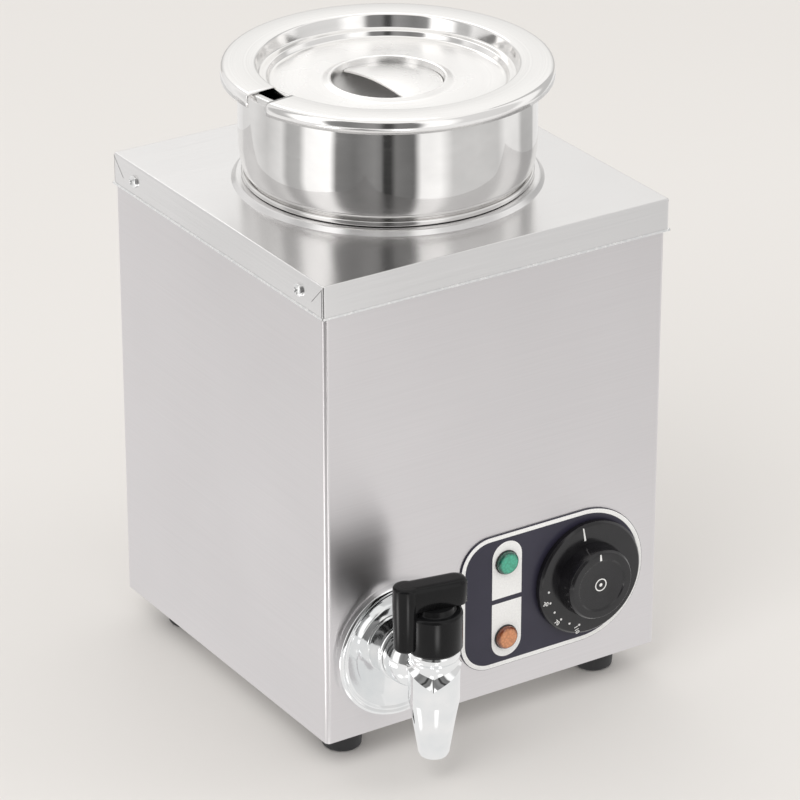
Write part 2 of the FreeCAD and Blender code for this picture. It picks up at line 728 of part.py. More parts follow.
# Lamps: threaded body with a bezel, a domed lens and a nut behind the panel
lamp_nuts = []
for name, z in (("power_lamp", z_edge + lamp_top_h), ("heat_lamp", z_edge + lamp_low_h)):
    at = vec(lamp_x, y_plate, z)
    rz = lamp_bezel_d / 2
    bezel = turned([
        (0, 0), (rz - 0.2, 0), (rz, 0.4), (rz, 1.3), (rz - 0.7, lamp_bezel_t),
        (lamp_lens_d / 2 + 0.3, lamp_bezel_t), (lamp_lens_d / 2 + 0.1, 1.0), (0, 1.0),
    ], at, OUT)
    shell = joined([bezel, cyl(lamp_barrel_d, lamp_barrel_l, vec(lamp_x, y_plate, z), Y)])
    shell = shell.cut(cyl(lamp_barrel_d - 3.0, lamp_barrel_l - 2.0, vec(lamp_x, y_plate - 1.5, z), Y))
    tags = []
    for sx in (-1, 1):
        x = lamp_x + sx * 3.2
        y = y_plate + lamp_barrel_l
        tags.append(box(x - 0.4, x + 0.4, y - 0.5, y + 7.0, z - 2.4, z + 2.4))
    nodes[name + "_body"] = joined([shell] + tags)
    rl = lamp_lens_d / 2
    dome = [(0, 1.0), (rl, 1.0), (rl, lamp_bezel_t)]
    dome += [(rl - 0.4, lamp_bezel_t + 0.5), (rl - 1.4, lamp_bezel_t + 1.1),
             (rl - 3.2, lamp_bezel_t + 1.6), (0, lamp_bezel_t + 1.8)]
    lens = turned(dome, at, OUT)
    lens = joined([lens, cyl(lamp_barrel_d - 3.0 - slip, 6.0, vec(lamp_x, y_plate - 1.5, z), Y)])
    nodes[name + "_lens"] = lens
    lamp_nuts.append(hexagon(lamp_barrel_d + 5.0, 3.5, vec(lamp_x, inner_front, z), Y, lamp_barrel_d + slip))
nodes["lamp_nuts"] = Part.makeCompound(lamp_nuts)

# Dial skirt and grip: both turn with the thermostat's shaft
at = vec(dial_x, y_plate - dial_lift, z_dial)
rd = dial_d / 2
skirt = turned([
    (rd - 0.6, 0), (rd, 0.6), (rd - 0.2, dial_t - 1.6), (rd - 1.4, dial_t), (0, dial_t),
    (0, dial_t - dial_wall), (rd - dial_wall - 1.4, dial_t - dial_wall), (rd - dial_wall - 0.6, 0),
], at, OUT)
skirt = skirt.cut(cyl(dial_shaft_d + slip, 20, at, OUT))
nodes["dial_skirt"] = skirt
rg = grip_d / 2
rg1 = grip_face_d / 2
g0 = dial_t
grip = turned([
    (0, g0), (rg, g0), (rg, g0 + 1.0), (rg1 + 0.6, g0 + grip_t - 1.6),
    (rg1 - 1.0, g0 + grip_t), (rg1 - 3.4, g0 + grip_t - 0.5), (0, g0 + grip_t - 0.5),
], at, OUT)
shaft_reach = dial_t + grip_t - 4.0
grip = grip.cut(cyl(dial_shaft_d + 2 * shaft_run, shaft_reach + 0.2, at, OUT))
mark = box(dial_x - 0.9, dial_x + 0.9, at.y - g0 - grip_t - 1, at.y - g0 - grip_t + 0.9,
           z_dial + rg1 * 0.55, z_dial + rg1 + 5)
nodes["thermostat_knob"] = grip.cut(mark)
shaft_in = 10.0
shaft = cyl(dial_shaft_d, shaft_reach + plate_t + dial_lift + sheet + shaft_in,
            vec(dial_x, at.y - shaft_reach, z_dial), Y)
nodes["thermostat_shaft"] = shaft

# Thermostat: body on a bracket plate, with side terminals and a sensor on a thin tube
y_stat = inner_front
stat = joined([
    box(dial_x - 22, dial_x + 22, y_stat, y_stat + 1.5, z_dial - 12, z_dial + 12),
    box(dial_x - stat_w / 2, dial_x + stat_w / 2, y_stat + 5.0, y_stat + stat_d,
        z_dial - stat_h / 2, z_dial + stat_h / 2),
    cyl(16.0, 8.0, vec(dial_x, y_stat, z_dial), Y),
    box(dial_x - 20.0, dial_x - 18.0, y_stat, y_stat + 14.0, z_dial - 9, z_dial + 9),
    box(dial_x + 18.0, dial_x + 20.0, y_stat, y_stat + 14.0, z_dial - 9, z_dial + 9),
])
stat = stat.cut(cyl(dial_shaft_d + 2 * shaft_run, shaft_in + 1.5, vec(dial_x, y_stat - 1, z_dial), Y))
for sx in (-1, 1):
    stat = stat.cut(cyl(4.0, 5.0, vec(dial_x + sx * stat_bolt_set, y_stat - 1, z_dial), Y))
    x = dial_x + sx * (stat_w / 2 - 6.0)
    y = y_stat + stat_d
    for dz in (-9.0, 9.0):
        stat = stat.fuse(box(x - 3, x + 3, y - 0.5, y + 7, z_dial + dz - 0.4, z_dial + dz + 0.4))
nodes["thermostat_body"] = stat.removeSplitter()
screws = []
for sx in (-1, 1):
    seat = vec(dial_x + sx * stat_bolt_set, y_plate, z_dial)
    screws.append(screw(6.6, 2.0, 3.8, plate_t + sheet + 4.0, seat, OUT))
nodes["thermostat_screws"] = Part.makeCompound(screws)

y_bulb0 = -bulb_sensor_l / 2
z_bulb = z_well_under - bulb_sensor_d / 2
bulb = cyl(bulb_sensor_d, bulb_sensor_l, vec(bulb_sensor_x, y_bulb0, z_bulb), Y)
nodes["sensor_bulb"] = bulb
y_exit = y_stat + stat_d
z_exit = z_dial + stat_h / 2 - 5.0
nodes["capillary_tube"] = rod([
    (dial_x, y_exit, z_exit), (dial_x, y_exit + 22.0, z_exit), (dial_x, y_exit + 22.0, z_bulb - 10.0),
    (bulb_sensor_x, y_bulb0 - 20.0, z_bulb), (bulb_sensor_x, y_bulb0, z_bulb),
], 12.0, capillary_d)
clips = []
for y in (y_bulb0 + 16.0, -y_bulb0 - 16.0):
    strap = joined([
        cyl(bulb_sensor_d + 3.0, 8.0, vec(bulb_sensor_x, y - 4.0, z_bulb), Y),
        box(bulb_sensor_x - 11, bulb_sensor_x + 11, y - 4.0, y + 4.0, z_well_under - 1.2,
            z_well_under),
    ])
    strap = strap.common(box(-300, 300, -300, 300, 0, z_well_under))
    strap = strap.cut(cyl(bulb_sensor_d + 0.2, 20.0, vec(bulb_sensor_x, y - 10.0, z_bulb), Y))
    strap = strap.cut(box(bulb_sensor_x - 2.6, bulb_sensor_x + 2.6, y - 10, y + 10,
                          z_bulb, z_well_under + 1))
    clips.append(strap)
nodes["bulb_clips"] = Part.makeCompound(clips)

# Mains side: cable gland in the back panel, terminal block and earth stud on the pan
gland_at = vec(gland_x, rear, z_gland)
hex_t = 5.0
gb = gland_bore_d
gland = joined([
    hexagon(22.0, hex_t, gland_at, Y, 11.0),
    tube(gland_thread_d, 11.0, sheet + 10.0, gland_at, Y * -1),
    tube(15.0, 11.0, hex_t + 7.0, gland_at, Y),
])
nodes["gland_body"] = gland
dome = turned([
    (15.0 / 2 + 0.1, hex_t), (10.6, hex_t), (10.6, hex_t + 9.0), (9.4, hex_t + 12.5),
    (7.0, gland_reach), (gb / 2, gland_reach), (gb / 2, gland_reach - 2.5),
    (15.0 / 2 + 0.1, gland_reach - 3.6),
], gland_at, Y)
nodes["gland_dome_nut"] = dome
nodes["gland_locknut"] = hexagon(21.0, 4.0, vec(gland_x, inner_rear, z_gland), Y * -1,
                                 gland_thread_d + slip)
nodes["gland_seal"] = tube(10.8, gb, hex_t + 7.0, gland_at, Y)

block = box(block_at.x - 22, block_at.x + 22, block_at.y - 10, block_at.y + 10, block_at.z,
            block_at.z + 16)
cuts = []
block_screws = []
for i in (-1, 0, 1):
    x = block_at.x + i * 14.0
    cuts.append(cyl(5.0, 30, vec(x, block_at.y - 15, block_at.z + 5.5), Y))
    for sy in (-1, 1):
        cuts.append(cyl(5.2, 20, vec(x, block_at.y + sy * 5.5, block_at.z + 7.0)))
        pin = cyl(4.8, 6.0, vec(x, block_at.y + sy * 5.5, block_at.z + 8.4))
        pin = pin.cut(box(x - 3, x + 3, block_at.y + sy * 5.5 - 0.5, block_at.y + sy * 5.5 + 0.5,
                          block_at.z + 13.2, block_at.z + 20))
        block_screws.append(pin)
for sx in (-1, 1):
    cuts.append(cyl(3.4, 40, vec(block_at.x + sx * 7.0, block_at.y, block_at.z - 10)))
nodes["terminal_block"] = less(block, cuts)
nodes["terminal_screws"] = Part.makeCompound(block_screws)

nodes["earth_stud"] = joined([
    cyl(5.0, 18.0, vec(stud_at.x, stud_at.y, z_pan)),
    cyl(9.0, 2.0, vec(stud_at.x, stud_at.y, z_pan - 2.0)),
])
nodes["earth_nuts"] = Part.makeCompound([
    tube(10.0, 5.2, 1.0, stud_at),
    hexagon(8.0, 4.0, stud_at + Z, Z, 5.2),
    hexagon(8.0, 4.0, stud_at + Z * 8.0, Z, 5.2),
])

# Pot: rolled rim, straight wall, tucked shoulder, rest bead and a narrower lower wall
rw = pot_wall_d / 2
rnk = pot_neck_d / 2
rbd = pot_bead_d / 2
t = pot_sheet
z_rest = z_ring + rest_gap
z_bead = z_rest + pot_bead_h
z_tuck = z_bead + pot_shoulder_h
tuck_in = rw - rbd + 1.6
out_side = [(rnk, z_pot_floor + pot_corner_r), (rnk, z_rest), (rbd - 1.0, z_rest),
            (rbd, z_rest + 1.0), (rbd, z_bead - 0.8), (rbd - 1.6, z_bead)]
steps = 7
for i in range(1, steps + 1):
    a = math.pi / 2 * i / steps
    out_side.append((rw - tuck_in + tuck_in * math.sin(a), z_tuck - pot_shoulder_h * math.cos(a)))
in_side = [(rw - t, z_tuck)]
for i in range(steps - 1, 0, -1):
    a = math.pi / 2 * i / steps
    in_side.append((rw - t - tuck_in + tuck_in * math.sin(a),
                    z_tuck + 0.6 - pot_shoulder_h * math.cos(a)))
in_side += [(rbd - 1.6 - t, z_bead), (rbd - t, z_bead - 1.2), (rbd - t, z_rest + t + 0.4),
            (rbd - 1.4 - t, z_rest + t), (rnk - t, z_rest + t)]
corner_out = arc_points(rnk - pot_corner_r, z_pot_floor + pot_corner_r, pot_corner_r, -90, 0)
corner_in = arc_points(rnk - pot_corner_r, z_pot_floor + pot_corner_r, pot_corner_r - t, 0, -90)
rim_out = rw + pot_rim_w
rim = [
    (rw, z_rim - 4.6), (rw + 2.0, z_rim - 4.4), (rim_out - 1.2, z_rim - 4.4),
    (rim_out - 0.3, z_rim - 3.4), (rim_out, z_rim - 2.2), (rim_out - 0.3, z_rim - 1.0),
    (rim_out - 1.2, z_rim - 0.2), (rim_out - 2.4, z_rim), (rw + 1.4, z_rim), (rw, z_rim - 0.5),
    (rw - t, z_rim - 1.8),
]
outline = [(0, z_pot_floor)] + corner_out + out_side[1:] + rim + in_side + corner_in
outline += [(0, z_pot_floor + t)]
nodes["pot"] = turned(outline, vec(0, 0, 0))

# Lid: flat flange with a turned-down skirt, a recess with a shelf and a middle hollow
ro = lid_d / 2
rr = lid_recess_d / 2
s = lid_sheet
rdm = lid_dimple_d / 2
z_disc = z_lid - lid_disc_drop
z_shelf = z_lid - lid_shelf_drop
top_line = [
    (ro, z_lid - lid_skirt), (ro, z_lid - 3.0), (ro - 0.9, z_lid - 1.0), (ro - 3.0, z_lid),
    (rr + 1.4, z_lid), (rr + 0.3, z_lid - 0.7), (rr, z_lid - 1.8), (rr - 1.6, z_shelf + 0.8),
    (rr - 2.6, z_shelf), (rr - 2.0 - lid_shelf_w, z_shelf), (rr - 2.8 - lid_shelf_w, z_shelf - 0.8),
    (rr - 3.4 - lid_shelf_w, z_disc + 0.5), (rr - 4.4 - lid_shelf_w, z_disc),
    (rdm + 4.0, z_disc), (rdm + 1.6, z_disc + lid_dimple_lip * 0.6), (rdm + 0.4, z_disc + lid_dimple_lip),
    (rdm - 0.4, z_disc + lid_dimple_lip * 0.8), (rdm - 1.2, z_disc - 1.0),
]
bowl = []
for i in range(1, 9):
    a = math.pi / 2 * i / 8
    bowl.append(((rdm - 1.2) * math.cos(a), z_disc - 1.0 - (lid_dimple_depth - 1.0) * math.sin(a)))
bowl[-1] = (0, z_disc - lid_dimple_depth)
under = [(0, z_disc - lid_dimple_depth - s)]
for i in range(7, 0, -1):
    a = math.pi / 2 * i / 8
    under.append(((rdm - 1.2 + s) * math.cos(a), z_disc - 1.0 - (lid_dimple_depth - 1.0 + s)
                  * math.sin(a)))
under += [
    (rdm - 1.2 + s, z_disc - 1.4), (rdm + 0.4, z_disc - 0.2), (rdm + 4.0, z_disc - s),
    (rr - 4.0 - lid_shelf_w, z_disc - s), (rr - 2.5 - lid_shelf_w, z_disc - 0.3),
    (rr - 1.8 - lid_shelf_w, z_shelf - s - 0.5), (rr - 1.6 - lid_shelf_w, z_shelf - s),
    (rr - 2.2, z_shelf - s), (rr - 0.6, z_shelf), (rr + s, z_lid - 1.9), (rr + 1.6, z_lid - s),
    (ro - 3.2, z_lid - s), (ro - 1.6, z_lid - 1.8), (ro - s, z_lid - 3.2),
    (ro - s, z_lid - lid_skirt),
]
lid = turned(top_line + bowl + under, vec(0, 0, 0))
notch = box(rr - 1.0, ro + 5, -notch_w / 2, notch_w / 2, z_lid - lid_skirt - 4, z_lid + 4)
notch.rotate(vec(0, 0, 0), Z, notch_angle)
nodes["lid_cover"] = lid.cut(notch)

# Lid handle: a half-moon plate welded over most of the hollow, which leaves room for fingers
r_plate = rdm - 1.9
z_plate_top = z_disc + 0.2
plate = Part.makeSphere(160.0, vec(0, 0, z_plate_top + 1.2 - 160.0))
plate = plate.cut(Part.makeSphere(160.0 - handle_plate_t, vec(0, 0, z_plate_top + 1.2 - 160.0)))
plate = plate.common(cyl(2 * r_plate, 40, vec(0, 0, z_plate_top - 20)))
side = box(-handle_plate_set, 100, -100, 100, z_plate_top - 40, z_plate_top + 40)
side.rotate(vec(0, 0, 0), Z, handle_plate_turn)
nodes["lid_handle"] = plate.common(side)

# Leads inside the housing: plain insulated wires between the terminals
y_tab = y_exit + 7.0
z_tab = z_dial + 9.0
wires = {
    "wire_feed": [
        (dial_x - 12.0, y_tab, z_dial - 9.0), (dial_x - 12.0, y_tab + 26.0, z_dial - 9.0),
        (dial_x - 24.0, block_at.y - 40.0, block_at.z + 30.0),
        (block_at.x + 14.0, block_at.y - 34.0, block_at.z + 5.5),
        (block_at.x + 14.0, block_at.y - 2.0, block_at.z + 5.5),
    ],
    "wire_heater": [
        (dial_x + 12.0, y_tab, z_dial - 9.0), (dial_x + 12.0, y_tab + 40.0, z_dial - 9.0),
        (heater_leg_x + 22.0, heater_y - 12.0, low - 40.0), (heater_leg_x, heater_y, low - 40.0),
        (heater_leg_x, heater_y, low - 9.0),
    ],
    "wire_return": [
        (-heater_leg_x, heater_y, low - 9.0), (-heater_leg_x, heater_y, low - 34.0),
        (0.0, block_at.y - 46.0, block_at.z + 20.0),
        (block_at.x, block_at.y - 34.0, block_at.z + 5.5),
        (block_at.x, block_at.y - 2.0, block_at.z + 5.5),
    ],
}
for name, points in wires.items():
    nodes[name] = rod(points, 14.0, wire_d)

# Write one file for each piece, with the origin moved to the middle of the footprint
os.makedirs("parts", exist_ok=True)
for name, shape in nodes.items():
    placed = shape.copy()
    placed.translate(vec(0, shift_y, 0))
    if not placed.isValid():
        print("not valid:", name)
    placed.exportStep("parts/" + name + ".step")
    bb = placed.BoundBox
    print("%-20s solids %2d  volume %9.1f  x %7.1f %7.1f  y %7.1f %7.1f  z %7.1f %7.1f" % (
        name, len(placed.Solids), placed.Volume, bb.XMin, bb.XMax, bb.YMin, bb.YMax, bb.ZMin,
        bb.ZMax))
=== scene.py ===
import json
import math

import bmesh
import bpy
from mathutils import Matrix, Vector


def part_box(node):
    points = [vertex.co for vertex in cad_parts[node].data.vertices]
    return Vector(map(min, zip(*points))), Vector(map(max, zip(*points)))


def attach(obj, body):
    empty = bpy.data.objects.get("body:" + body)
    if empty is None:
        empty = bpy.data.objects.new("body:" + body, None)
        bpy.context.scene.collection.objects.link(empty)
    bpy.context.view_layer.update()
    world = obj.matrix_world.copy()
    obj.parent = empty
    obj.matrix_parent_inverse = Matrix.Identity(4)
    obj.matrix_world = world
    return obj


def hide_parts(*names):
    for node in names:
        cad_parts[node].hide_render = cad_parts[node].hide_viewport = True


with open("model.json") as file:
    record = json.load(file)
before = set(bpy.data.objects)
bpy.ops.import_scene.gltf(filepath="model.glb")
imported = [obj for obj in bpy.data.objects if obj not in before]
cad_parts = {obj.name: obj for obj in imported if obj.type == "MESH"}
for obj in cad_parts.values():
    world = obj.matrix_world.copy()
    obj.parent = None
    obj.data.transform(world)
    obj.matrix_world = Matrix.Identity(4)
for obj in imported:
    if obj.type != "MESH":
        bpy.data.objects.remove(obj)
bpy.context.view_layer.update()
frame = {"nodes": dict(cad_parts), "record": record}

bl_info = {
    "name": "Countertop bain marie",
    "version": (1, 0, 0),
    "blender": (4, 5, 0),
    "location": "3D View > Sidebar > Bain marie",
    "description": "Builds the looks of a steel bain marie around its packed frame",
    "category": "Object",
}

MM = 0.001
FRONT = Vector((0.0, -1.0, 0.0))
UP = Vector((0.0, 0.0, 1.0))


def middle(node):
    low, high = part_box(node)
    return (low + high) / 2


POT_AXIS = Vector((middle("pot").x, middle("pot").y, 0.0))
PANEL_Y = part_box("casing_wrap")[0].y
PLATE_LOW, PLATE_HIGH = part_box("control_plate")
DIAL_AT = middle("dial_skirt")
SPOUT_AXIS = Vector((middle("tap_plug").x, middle("tap_plug").y, 0.0))
DECK_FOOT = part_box("casing_wrap")[1].z - 20.0 * MM
SHANK_AT = Vector((middle("tap_escutcheon").x, PANEL_Y, middle("tap_escutcheon").z))


# ---------------------------------------------------------------- materials

def hex_colour(text):
    """sRGB hex to a linear colour."""
    out = []
    for i in (1, 3, 5):
        c = int(text[i:i + 2], 16) / 255
        out.append(c / 12.92 if c <= 0.04045 else ((c + 0.055) / 1.055) ** 2.4)
    return (*out, 1.0)


def add(tree, kind, sockets=None, **settings):
    """Adds a node. sockets holds its input values, or output sockets to link there."""
    node = tree.nodes.new(kind)
    for key, value in settings.items():
        setattr(node, key, value)
    for key, value in (sockets or {}).items():
        if isinstance(value, bpy.types.NodeSocket):
            tree.links.new(value, node.inputs[key])
        else:
            node.inputs[key].default_value = value
    return node


def new_material(name):
    material = bpy.data.materials.new(name)
    material.use_nodes = True
    material.node_tree.nodes.clear()
    return material, material.node_tree


def close_material(tree, shader_sockets):
    shader = add(tree, "ShaderNodeBsdfPrincipled", shader_sockets)
    add(tree, "ShaderNodeOutputMaterial", {"Surface": shader.outputs["BSDF"]})
    return shader


def pattern(tree, per_metre, detail=2.0, roughness=0.5):
    """Noise on object coordinates. per_metre is how many features fit in a metre each way."""
    place = add(tree, "ShaderNodeTexCoord").outputs["Object"]
    scaled = add(tree, "ShaderNodeMapping", {"Vector": place, "Scale": per_metre})
    noise = add(tree, "ShaderNodeTexNoise", {
        "Vector": scaled.outputs["Vector"], "Scale": 1.0, "Detail": detail, "Roughness": roughness})
    return noise.outputs["Fac"]


def spread(tree, value, low, high, start=0.3, stop=0.7):
    """Maps a pattern between two numbers."""
    return add(tree, "ShaderNodeMapRange", {
        "Value": value, "From Min": start, "From Max": stop, "To Min": low, "To Max": high,
    }).outputs["Result"]


def tint(tree, value, low, high, start=0.3, stop=0.7):
    """Mixes two hex colours by a pattern."""
    ramp = spread(tree, value, 0.0, 1.0, start, stop)
    mix = add(tree, "ShaderNodeMix", {0: ramp, 6: hex_colour(low), 7: hex_colour(high)}, data_type="RGBA")
    return mix.outputs[2]


def bump(tree, height, distance_mm, strength=1.0):
    node = add(tree, "ShaderNodeBump", {
        "Height": height, "Distance": distance_mm * MM, "Strength": strength})
    return node.outputs["Normal"]


def grained_sheet(name, low, high, roughness, anisotropy, grain_mm):
    """Brushed stainless sheet. Belt grinding leaves level grooves, which stretch reflections upright."""
    material, tree = new_material(name)
    # Real grooves are about 0.05 mm apart. They are drawn grain_mm apart, so that they show at all.
    across = 1.0 / (grain_mm * MM)
    upright = pattern(tree, (9.0, 9.0, across), 3.0, 0.7)
    flat = pattern(tree, (9.0, across, 9.0), 3.0, 0.7)
    facing = add(tree, "ShaderNodeNewGeometry").outputs["Normal"]
    up = add(tree, "ShaderNodeSeparateXYZ", {0: facing}).outputs["Z"]
    on_top = add(tree, "ShaderNodeMath", {0: up, 1: 0.7}, operation="GREATER_THAN").outputs[0]
    grooves = add(tree, "ShaderNodeMix", {0: on_top, 2: upright, 3: flat}, data_type="FLOAT").outputs[0]
    cloud = pattern(tree, (9.0, 9.0, 9.0), 2.0)
    both = add(tree, "ShaderNodeMath", {0: grooves, 1: cloud}, operation="ADD").outputs[0]
    lay = add(tree, "ShaderNodeCombineXYZ", {"X": 0.0, "Y": 0.15, "Z": 1.0}).outputs[0]
    close_material(tree, {
        "Base Color": tint(tree, both, low, high, 0.6, 1.4),
        "Metallic": 1.0,
        "Roughness": spread(tree, grooves, roughness - 0.02, roughness + 0.02),
        "Anisotropic": anisotropy,
        "Tangent": lay,
        "Normal": bump(tree, grooves, 0.002, 0.4),
    })
    return material


def panel_steel():
    look = bpy.context.scene.bm_steel
    return grained_sheet("brushed_stainless_panel", "#DBD8D9", "#E3E0E1", look.panel_roughness, 0.82, look.grain)


def deck_steel():
    look = bpy.context.scene.bm_steel
    return grained_sheet("bright_stainless_deck", "#E4E3E3", "#EDECEC", look.deck_roughness, 0.6, look.grain)


def hidden_steel():
    return grained_sheet("plain_stainless_sheet", "#B4B3B1", "#C6C5C3", 0.38, 0.3, 1.6)


def polished_steel():
    """Mirror polished stainless sheet: buffed, with faint level buffing lines and soft smudges."""
    material, tree = new_material("mirror_polished_stainless")
    lines = pattern(tree, (30.0, 30.0, 700.0), 2.0, 0.6)
    smudge = pattern(tree, (22.0, 22.0, 30.0), 3.0, 0.6)
    waves = pattern(tree, (26.0, 26.0, 34.0), 1.0)
    both = add(tree, "ShaderNodeMath", {0: lines, 1: smudge}, operation="MULTIPLY").outputs[0]
    close_material(tree, {
        "Base Color": tint(tree, smudge, "#DEDDDC", "#EDECEB"),
        "Metallic": 1.0,
        "Roughness": spread(tree, both, 0.035, 0.11, 0.12, 0.4),
        # A spun wall is never quite true: waves of some 0.05 mm bend the reflections a little.
        "Normal": bump(tree, waves, 0.25, 0.35),
    })
    return material


def satin_inside():
    """Inner face of the drawn pot: satin from a fibre wheel, with faint rings."""
    material, tree = new_material("satin_stainless_pot_inside")
    rings = pattern(tree, (12.0, 12.0, 900.0), 3.0, 0.6)
    cloud = pattern(tree, (20.0, 20.0, 20.0), 3.0)
    close_material(tree, {
        "Base Color": tint(tree, cloud, "#DAD9D8", "#E6E5E4"),
        "Metallic": 1.0,
        "Roughness": spread(tree, rings, 0.24, 0.34),
        "Normal": bump(tree, rings, 0.003, 0.5),
    })
    return material


def spun_steel():
    """Pressed and spun lid: bright, with faint rings round its middle from the lathe."""
    material, tree = new_material("spun_polished_stainless_lid")
    place = add(tree, "ShaderNodeTexCoord").outputs["Object"]
    centred = add(tree, "ShaderNodeMapping", {
        "Vector": place, "Location": (-POT_AXIS.x, -POT_AXIS.y, 0.0)}).outputs["Vector"]
    split = add(tree, "ShaderNodeSeparateXYZ", {0: centred})
    flat = add(tree, "ShaderNodeCombineXYZ", {"X": split.outputs["X"], "Y": split.outputs["Y"], "Z": 0.0})
    out = add(tree, "ShaderNodeVectorMath", {0: flat.outputs[0]}, operation="LENGTH").outputs["Value"]
    # Lathe rings are about 0.1 mm apart and are drawn 1.2 mm apart, so that they show.
    along = add(tree, "ShaderNodeMath", {0: out, 1: 850.0}, operation="MULTIPLY").outputs[0]
    rings = add(tree, "ShaderNodeTexNoise", {"W": along, "Scale": 1.0, "Detail": 2.0},
                noise_dimensions="1D").outputs["Fac"]
    smudge = pattern(tree, (24.0, 24.0, 24.0), 3.0)
    # The polishing wheel doesn't reach down into the hollow, which stays duller.
    deep = (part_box("lid_cover")[1].z - 0.014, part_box("lid_cover")[1].z - 0.018)
    height = add(tree, "ShaderNodeSeparateXYZ", {0: place}).outputs["Z"]
    dull = add(tree, "ShaderNodeMapRange", {
        "Value": height, "From Min": deep[1], "From Max": deep[0], "To Min": 0.34, "To Max": 0.0}).outputs["Result"]
    satin = add(tree, "ShaderNodeMapRange", {
        "Value": out, "From Min": 0.066, "From Max": 0.072, "To Min": 0.16, "To Max": 0.0}).outputs["Result"]
    worn = add(tree, "ShaderNodeMath", {0: satin, 1: dull}, operation="ADD").outputs[0]
    gloss = add(tree, "ShaderNodeMath", {0: spread(tree, smudge, 0.07, 0.14), 1: worn}, operation="ADD").outputs[0]
    close_material(tree, {
        "Base Color": tint(tree, rings, "#F5F4F3", "#F9F8F7"),
        "Metallic": 1.0,
        "Roughness": gloss,
        "Normal": bump(tree, rings, 0.0015, 0.35),
    })
    return material


def chrome_plate():
    """Bright chrome plate on a brass casting: blue-white mirror with a slight orange peel."""
    material, tree = new_material("bright_chrome_plate")
    peel = pattern(tree, (260.0, 260.0, 260.0), 2.0)
    haze = pattern(tree, (60.0, 60.0, 60.0), 2.0)
    close_material(tree, {
        "Base Color": tint(tree, haze, "#EEF0F1", "#F8F8F8"),
        "Metallic": 1.0,
        "Roughness": spread(tree, haze, 0.035, 0.09),
        "Normal": bump(tree, peel, 0.0012, 0.3),
    })
    return material


def bright_zinc():
    """Zinc plated screw steel: pale, a little cloudy."""
    material, tree = new_material("bright_zinc_plate")
    cloud = pattern(tree, (420.0, 420.0, 420.0), 2.0)
    close_material(tree, {
        "Base Color": tint(tree, cloud, "#E6E7E8", "#F8F8F7"),
        "Metallic": 1.0,
        "Roughness": spread(tree, cloud, 0.16, 0.3),
        "Normal": bump(tree, cloud, 0.01, 0.4),
    })
    return material


def gloss_phenolic():
    """Moulded phenolic resin, polished: deep black with a wet gloss and faint mould flow."""
    material, tree = new_material("polished_black_phenolic")
    flow = pattern(tree, (90.0, 90.0, 40.0), 3.0)
    close_material(tree, {
        "Base Color": tint(tree, flow, "#0E0E0F", "#171718"),
        "Roughness": spread(tree, flow, 0.12, 0.2),
        "IOR": 1.5,
        "Specular IOR Level": 0.2,
        "Normal": bump(tree, flow, 0.03, 0.3),
    })
    return material


def satin_abs(name, low, high, rough_low, rough_high):
    """Moulded ABS with a fine spark-eroded grain of about 0.3 mm."""
    material, tree = new_material(name)
    grain = pattern(tree, (3000.0, 3000.0, 3000.0), 2.0)
    cloud = pattern(tree, (120.0, 120.0, 120.0), 2.0)
    close_material(tree, {
        "Base Color": tint(tree, cloud, low, high),
        "Roughness": spread(tree, cloud, rough_low, rough_high),
        "IOR": 1.53,
        "Normal": bump(tree, grain, 0.012, 0.35),
    })
    return material


def dial_abs():
    return satin_abs("satin_black_abs_dial", "#131214", "#1A191C", 0.13, 0.21)


def fitting_nylon():
    return satin_abs("black_nylon_fittings", "#1B1B1C", "#262627", 0.4, 0.52)


def printed_plate():
    """Anodised aluminium plate, screen printed in dark slate under a clear lacquer."""
    material, tree = new_material("screen_printed_slate_plate")
    mesh_print = pattern(tree, (1400.0, 1400.0, 1400.0), 2.0)
    cloud = pattern(tree, (28.0, 28.0, 28.0), 2.0)
    close_material(tree, {
        "Base Color": tint(tree, cloud, "#2C2A3A", "#353342"),
        "Roughness": spread(tree, mesh_print, 0.3, 0.38),
        "IOR": 1.5,
        "Specular IOR Level": 0.4,
        "Normal": bump(tree, mesh_print, 0.004, 0.4),
    })
    return material


def white_print():
    """Thick white screen ink: a hair proud of the plate, eggshell."""
    material, tree = new_material("white_screen_ink")
    fleck = pattern(tree, (900.0, 900.0, 900.0), 2.0)
    close_material(tree, {
        "Base Color": tint(tree, fleck, "#F3F3F2", "#FCFCFB"),
        "Roughness": spread(tree, fleck, 0.38, 0.5),
        "IOR": 1.48,
        "Normal": bump(tree, fleck, 0.004, 0.3),
    })
    return material


